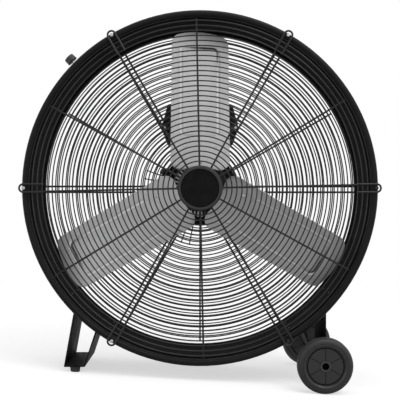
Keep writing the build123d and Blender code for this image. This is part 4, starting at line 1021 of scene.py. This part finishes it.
def tyre_profile():
    """A closed section of (radius, height), with the tread at the outside."""
    half = WHEEL_WIDTH / 2
    flat = half - TYRE_SHOULDER_R
    tread = []
    for middle in TREAD_GROOVES:
        for shift, depth in TREAD_GROOVE_SHAPE:
            height = middle + shift * TREAD_GROOVE_HALF_W
            tread.append((WHEEL_R - TREAD_GROOVE_DEPTH * depth, height))
    shoulder_r = WHEEL_R - TYRE_SHOULDER_R
    upper = arc((shoulder_r, flat), TYRE_SHOULDER_R, 0, pi / 2, SHOULDER_STEPS)
    wall = [(radius, half - depth) for radius, depth in BEAD_LINE]
    bore_r = TYRE_BORE_R + TYRE_FIT
    round_centre = (bore_r + TYRE_ROUND, half - TYRE_ROUND)
    lip = arc(round_centre, TYRE_ROUND, pi / 2, pi, ROUND_STEPS)
    inner = [(bore_r, half - TYRE_ROUND - TYRE_STEP)]
    side = upper + wall + lip + inner
    mirrored = [(radius, -height) for radius, height in reversed(side)]
    return mirrored + tread + side


points, faces = lathe(tyre_profile(), TYRE_STEPS)
tyre_rubber = tyre_finish()
for wheel, centre in wheel_centres.items():
    place = Matrix.Translation(centre) @ Matrix.Rotation(radians(90), 4, "X")
    tyre = piece(
        wheel + "_moulded_tyre", points, faces, "tyre_rubber", wheel, place, tyre_rubber, sharp=40.0
    )
    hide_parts(wheel + "_tyre")


# Speed knob and its printed dial

OUTWARD = DRUM @ turned(CONTROL_ANGLE) @ Matrix.Rotation(radians(90), 4, "Y")


def knob_mesh():
    """A fluted grip over a plain skirt, with a dished top; +Z points away from the drum."""
    levels = [  # radius, height, share of the flutes' depth
        (KNOB_BASE_R - 0.5, 0.0, 0),
        (KNOB_BASE_R, 0.5, 0),
        (KNOB_BASE_R, 2.4, 0),
        (KNOB_BASE_R - 0.35, 2.9, 0.2),
        (KNOB_BASE_R - 0.4, 3.8, 1),
        (KNOB_TOP_R + 0.1, KNOB_H - 2.0, 1),
        (KNOB_TOP_R - 0.25, KNOB_H - 0.9, 0.8),
        (KNOB_TOP_R - 0.9, KNOB_H - 0.25, 0.3),
        (KNOB_TOP_R - 1.8, KNOB_H, 0),
        (KNOB_TOP_R - 3.0, KNOB_H - 0.1, 0),
        (KNOB_TOP_R * 0.4, KNOB_H - 0.5, 0),
    ]
    steps = FLUTE_COUNT * FLUTE_STEPS
    rings = []
    for radius, height, fluted in levels:
        ring = []
        for n in range(steps):
            angle = 2 * pi * n / steps
            r = radius - FLUTE_DEPTH * fluted * (0.5 - 0.5 * cos(FLUTE_COUNT * angle)) ** 2
            ring.append((r * cos(angle), r * sin(angle), KNOB_LOW_R + height))
        rings.append(ring)
    return skin(rings, caps=True)


knob = piece("fluted_knob", *knob_mesh(), "knob_plastic", "knob", OUTWARD, sharp=50.0)
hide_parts("speed_knob")


def bar(low, high):
    """A box between two corners, with its long edges eased."""
    ease = min(high[n] - low[n] for n in (0, 2)) * BAR_EASE
    rings = []
    for y in (low[1], high[1]):
        rings.append(
            [
                (low[0], y, low[2]),
                (high[0], y, low[2]),
                (high[0], y, high[2] - ease),
                (high[0] - ease, y, high[2]),
                (low[0] + ease, y, high[2]),
                (low[0], y, high[2] - ease),
            ]
        )
    return skin(rings, caps=True)


top = KNOB_LOW_R + KNOB_H
pointer = bar(
    (-POINTER_HALF_W, POINTER_INNER_R, top - POINTER_SINK),
    (POINTER_HALF_W, KNOB_TOP_R - POINTER_END, top + POINTER_RISE),
)
piece("knob_pointer", *pointer, "knob_plastic", "knob", OUTWARD, ink)

ticks = []
for n in range(DIAL_COUNT):
    tick = bar(
        (-TICK_HALF_W, TICK_INNER_R, DIAL_FACE_R - PRINT_SINK),
        (TICK_HALF_W, TICK_OUTER_R, DIAL_FACE_R + PRINT_T),
    )
    ticks.append(moved(Matrix.Rotation(radians(DIAL_STEP * n), 4, "Z"), tick))
piece("dial_ticks", *merged(ticks), "dial_plate", "drum", OUTWARD, ink)

for n in range(DIAL_COUNT):
    text = bpy.data.curves.new(f"dial_number_{n}", "FONT")
    text.body = str(n)
    text.size = NUMERAL_H_M * FONT_SIZE_PER_H
    text.align_x, text.align_y = "CENTER", "CENTER"
    text.extrude = PRINT_T * MM / 2
    holder = bpy.data.objects.new(f"dial_number_{n}", text)
    bpy.context.scene.collection.objects.link(holder)
    bpy.context.view_layer.update()
    solid_text = holder.evaluated_get(bpy.context.evaluated_depsgraph_get())
    shape = bpy.data.meshes.new_from_object(solid_text)
    bpy.data.objects.remove(holder)
    place = (
        OUTWARD
        @ Matrix.Rotation(radians(DIAL_STEP * n), 4, "Z")
        @ Matrix.Translation((0, NUMERAL_R * MM, (DIAL_FACE_R + PRINT_T / 2) * MM))
    )
    set_in(f"dial_digit_{n}", shape, "dial_plate", "drum", place, ink)


# ---------------------------------------------------------------- floor, light and camera

FLOOR_RADIUS_M = 6.0
FLOOR_STEPS = 96
FLOOR_REFLECTS = 0.55
FLOOR_LIT = 0.72        # the floor's light, unshadowed, as a share of white
FLOOR_BEHIND_M = (-0.25, 0.1)   # along Y, where mirrored rays start to see it white
FLOOR_WHITE_M = (1.0, 1.9)      # from the middle, where it turns plain white
ROOM_LEFT = 0.66        # brightness of the studio's left and right in mirrored rays
ROOM_RIGHT = 1.08
ROOM_SIDES = (-0.32, 0.45)      # along X, where the one turns into the other
ROOM_BACK = (-0.15, 0.35)       # along Y, where the studio turns into the white behind
ROOM_AMBIENT = 0.55
LAMP_AIM_M = (0.0, 0.0, 0.45)
LAMPS = (               # name, place and width in metres, watts
    ("key", (1.2, -1.6, 2.9), 2.0, 38.0),
    ("fill", (-2.3, -1.3, 0.8), 1.8, 12.0),
    ("top", (-0.3, -0.4, 2.6), 1.6, 9.0),
)


def mirrored_rays(nodes, path):
    """1 for rays that a surface mirrors or lets through."""
    return nodes.sum("MAXIMUM", path["Is Glossy Ray"], path["Is Transmission Ray"])


def background_rays(nodes, place):
    """1 for rays that show the background: camera rays, and mirrored ones behind the fan."""
    path = nodes.add("ShaderNodeLightPath").outputs
    behind = nodes.span(nodes.part_of(place, "Y"), *FLOOR_BEHIND_M, smooth=True)
    seen = nodes.sum("MULTIPLY", mirrored_rays(nodes, path), behind)
    return nodes.sum("MAXIMUM", path["Is Camera Ray"], seen)


def floor_material():
    """Pale matt floor that comes up to white away from the object and keeps its shadow."""
    material = bpy.data.materials.new("floor_white")
    material.use_nodes = True
    nodes = Nodes(material.node_tree)
    nodes.tree.nodes.clear()
    place = nodes.add("ShaderNodeTexCoord").outputs["Object"]
    distance = nodes.add("ShaderNodeVectorMath", {0: place}, operation="LENGTH").outputs["Value"]
    matt = nodes.add("ShaderNodeBsdfDiffuse", {"Color": (FLOOR_REFLECTS,) * 3})
    background = background_rays(nodes, place)
    lift = nodes.sum("MULTIPLY", background, 1.0 - FLOOR_REFLECTS * FLOOR_LIT)
    glow = nodes.add("ShaderNodeEmission", {"Color": (1.0, 1.0, 1.0), "Strength": lift})
    both = nodes.add("ShaderNodeAddShader", {0: matt.outputs[0], 1: glow.outputs[0]})
    plain = nodes.add("ShaderNodeEmission", {"Color": (1.0, 1.0, 1.0), "Strength": 1.0})
    far = nodes.sum("MULTIPLY", nodes.span(distance, *FLOOR_WHITE_M, smooth=True), background)
    shown = nodes.add("ShaderNodeMixShader", {0: far, 1: both.outputs[0], 2: plain.outputs[0]})
    output = nodes.add("ShaderNodeOutputMaterial")
    nodes.feed(output.inputs["Surface"], shown.outputs[0])
    return material


def floor():
    mesh = bpy.data.meshes.new("floor")
    points, faces = lathe([(FLOOR_RADIUS_M, 0.0)], FLOOR_STEPS, caps=True)
    mesh.from_pydata(points, [], faces[-1:])
    mesh.materials.append(floor_material())
    thing = bpy.data.objects.new("floor", mesh)
    bpy.context.scene.collection.objects.link(thing)


def room():
    """White behind, a studio in front: a bright side to the right, a greyer one to the left."""
    world = bpy.data.worlds.new("room")
    bpy.context.scene.world = world
    world.use_nodes = True
    nodes = Nodes(world.node_tree)
    nodes.tree.nodes.clear()
    way = nodes.add("ShaderNodeTexCoord").outputs["Generated"]
    right = nodes.part_of(way, "X")
    back = nodes.part_of(way, "Y")
    path = nodes.add("ShaderNodeLightPath").outputs
    mirrored = mirrored_rays(nodes, path)
    front = nodes.span(right, *ROOM_SIDES, ROOM_LEFT, ROOM_RIGHT, smooth=True)
    behind = nodes.span(back, *ROOM_BACK, smooth=True)
    front = nodes.sum("MULTIPLY", front, nodes.sum("SUBTRACT", 1.0, behind))
    studio = nodes.sum("MULTIPLY", nodes.sum("ADD", front, behind), mirrored)
    ambient = nodes.sum("MULTIPLY", nodes.sum("SUBTRACT", 1.0, mirrored), ROOM_AMBIENT)
    strength = nodes.sum("ADD", studio, ambient)
    lit = nodes.add("ShaderNodeMix", data_type="FLOAT")
    for index, source in ((0, path["Is Camera Ray"]), (2, strength), (3, 1.0)):
        nodes.feed(lit.inputs[index], source)
    background = nodes.add(
        "ShaderNodeBackground", {"Color": (1.0, 1.0, 1.0), "Strength": lit.outputs[0]}
    )
    output = nodes.add("ShaderNodeOutputWorld")
    nodes.feed(output.inputs["Surface"], background.outputs[0])


def lamp(name, place, size, watts):
    data = bpy.data.lights.new(name, "AREA")
    data.shape = "DISK"
    data.size = size
    data.energy = watts
    thing = bpy.data.objects.new(name, data)
    bpy.context.scene.collection.objects.link(thing)
    thing.location = place
    toward = Vector(LAMP_AIM_M) - Vector(place)
    thing.rotation_euler = toward.to_track_quat("-Z", "Y").to_euler()
    thing.visible_camera = False


floor()
room()
for settings in LAMPS:
    lamp(*settings)

camera_data = bpy.data.cameras.new("camera")
camera_data.lens = CAMERA_LENS
camera_data.sensor_width = CAMERA_SENSOR
camera = bpy.data.objects.new("camera", camera_data)
bpy.context.scene.collection.objects.link(camera)
camera.location = DRUM @ Vector((0.0, CAMERA_Y * MM, CAMERA_Z * MM))
camera.rotation_euler = (radians(90), -lean, 0.0)
bpy.context.scene.camera = camera

bpy.context.scene.view_settings.view_transform = "Standard"
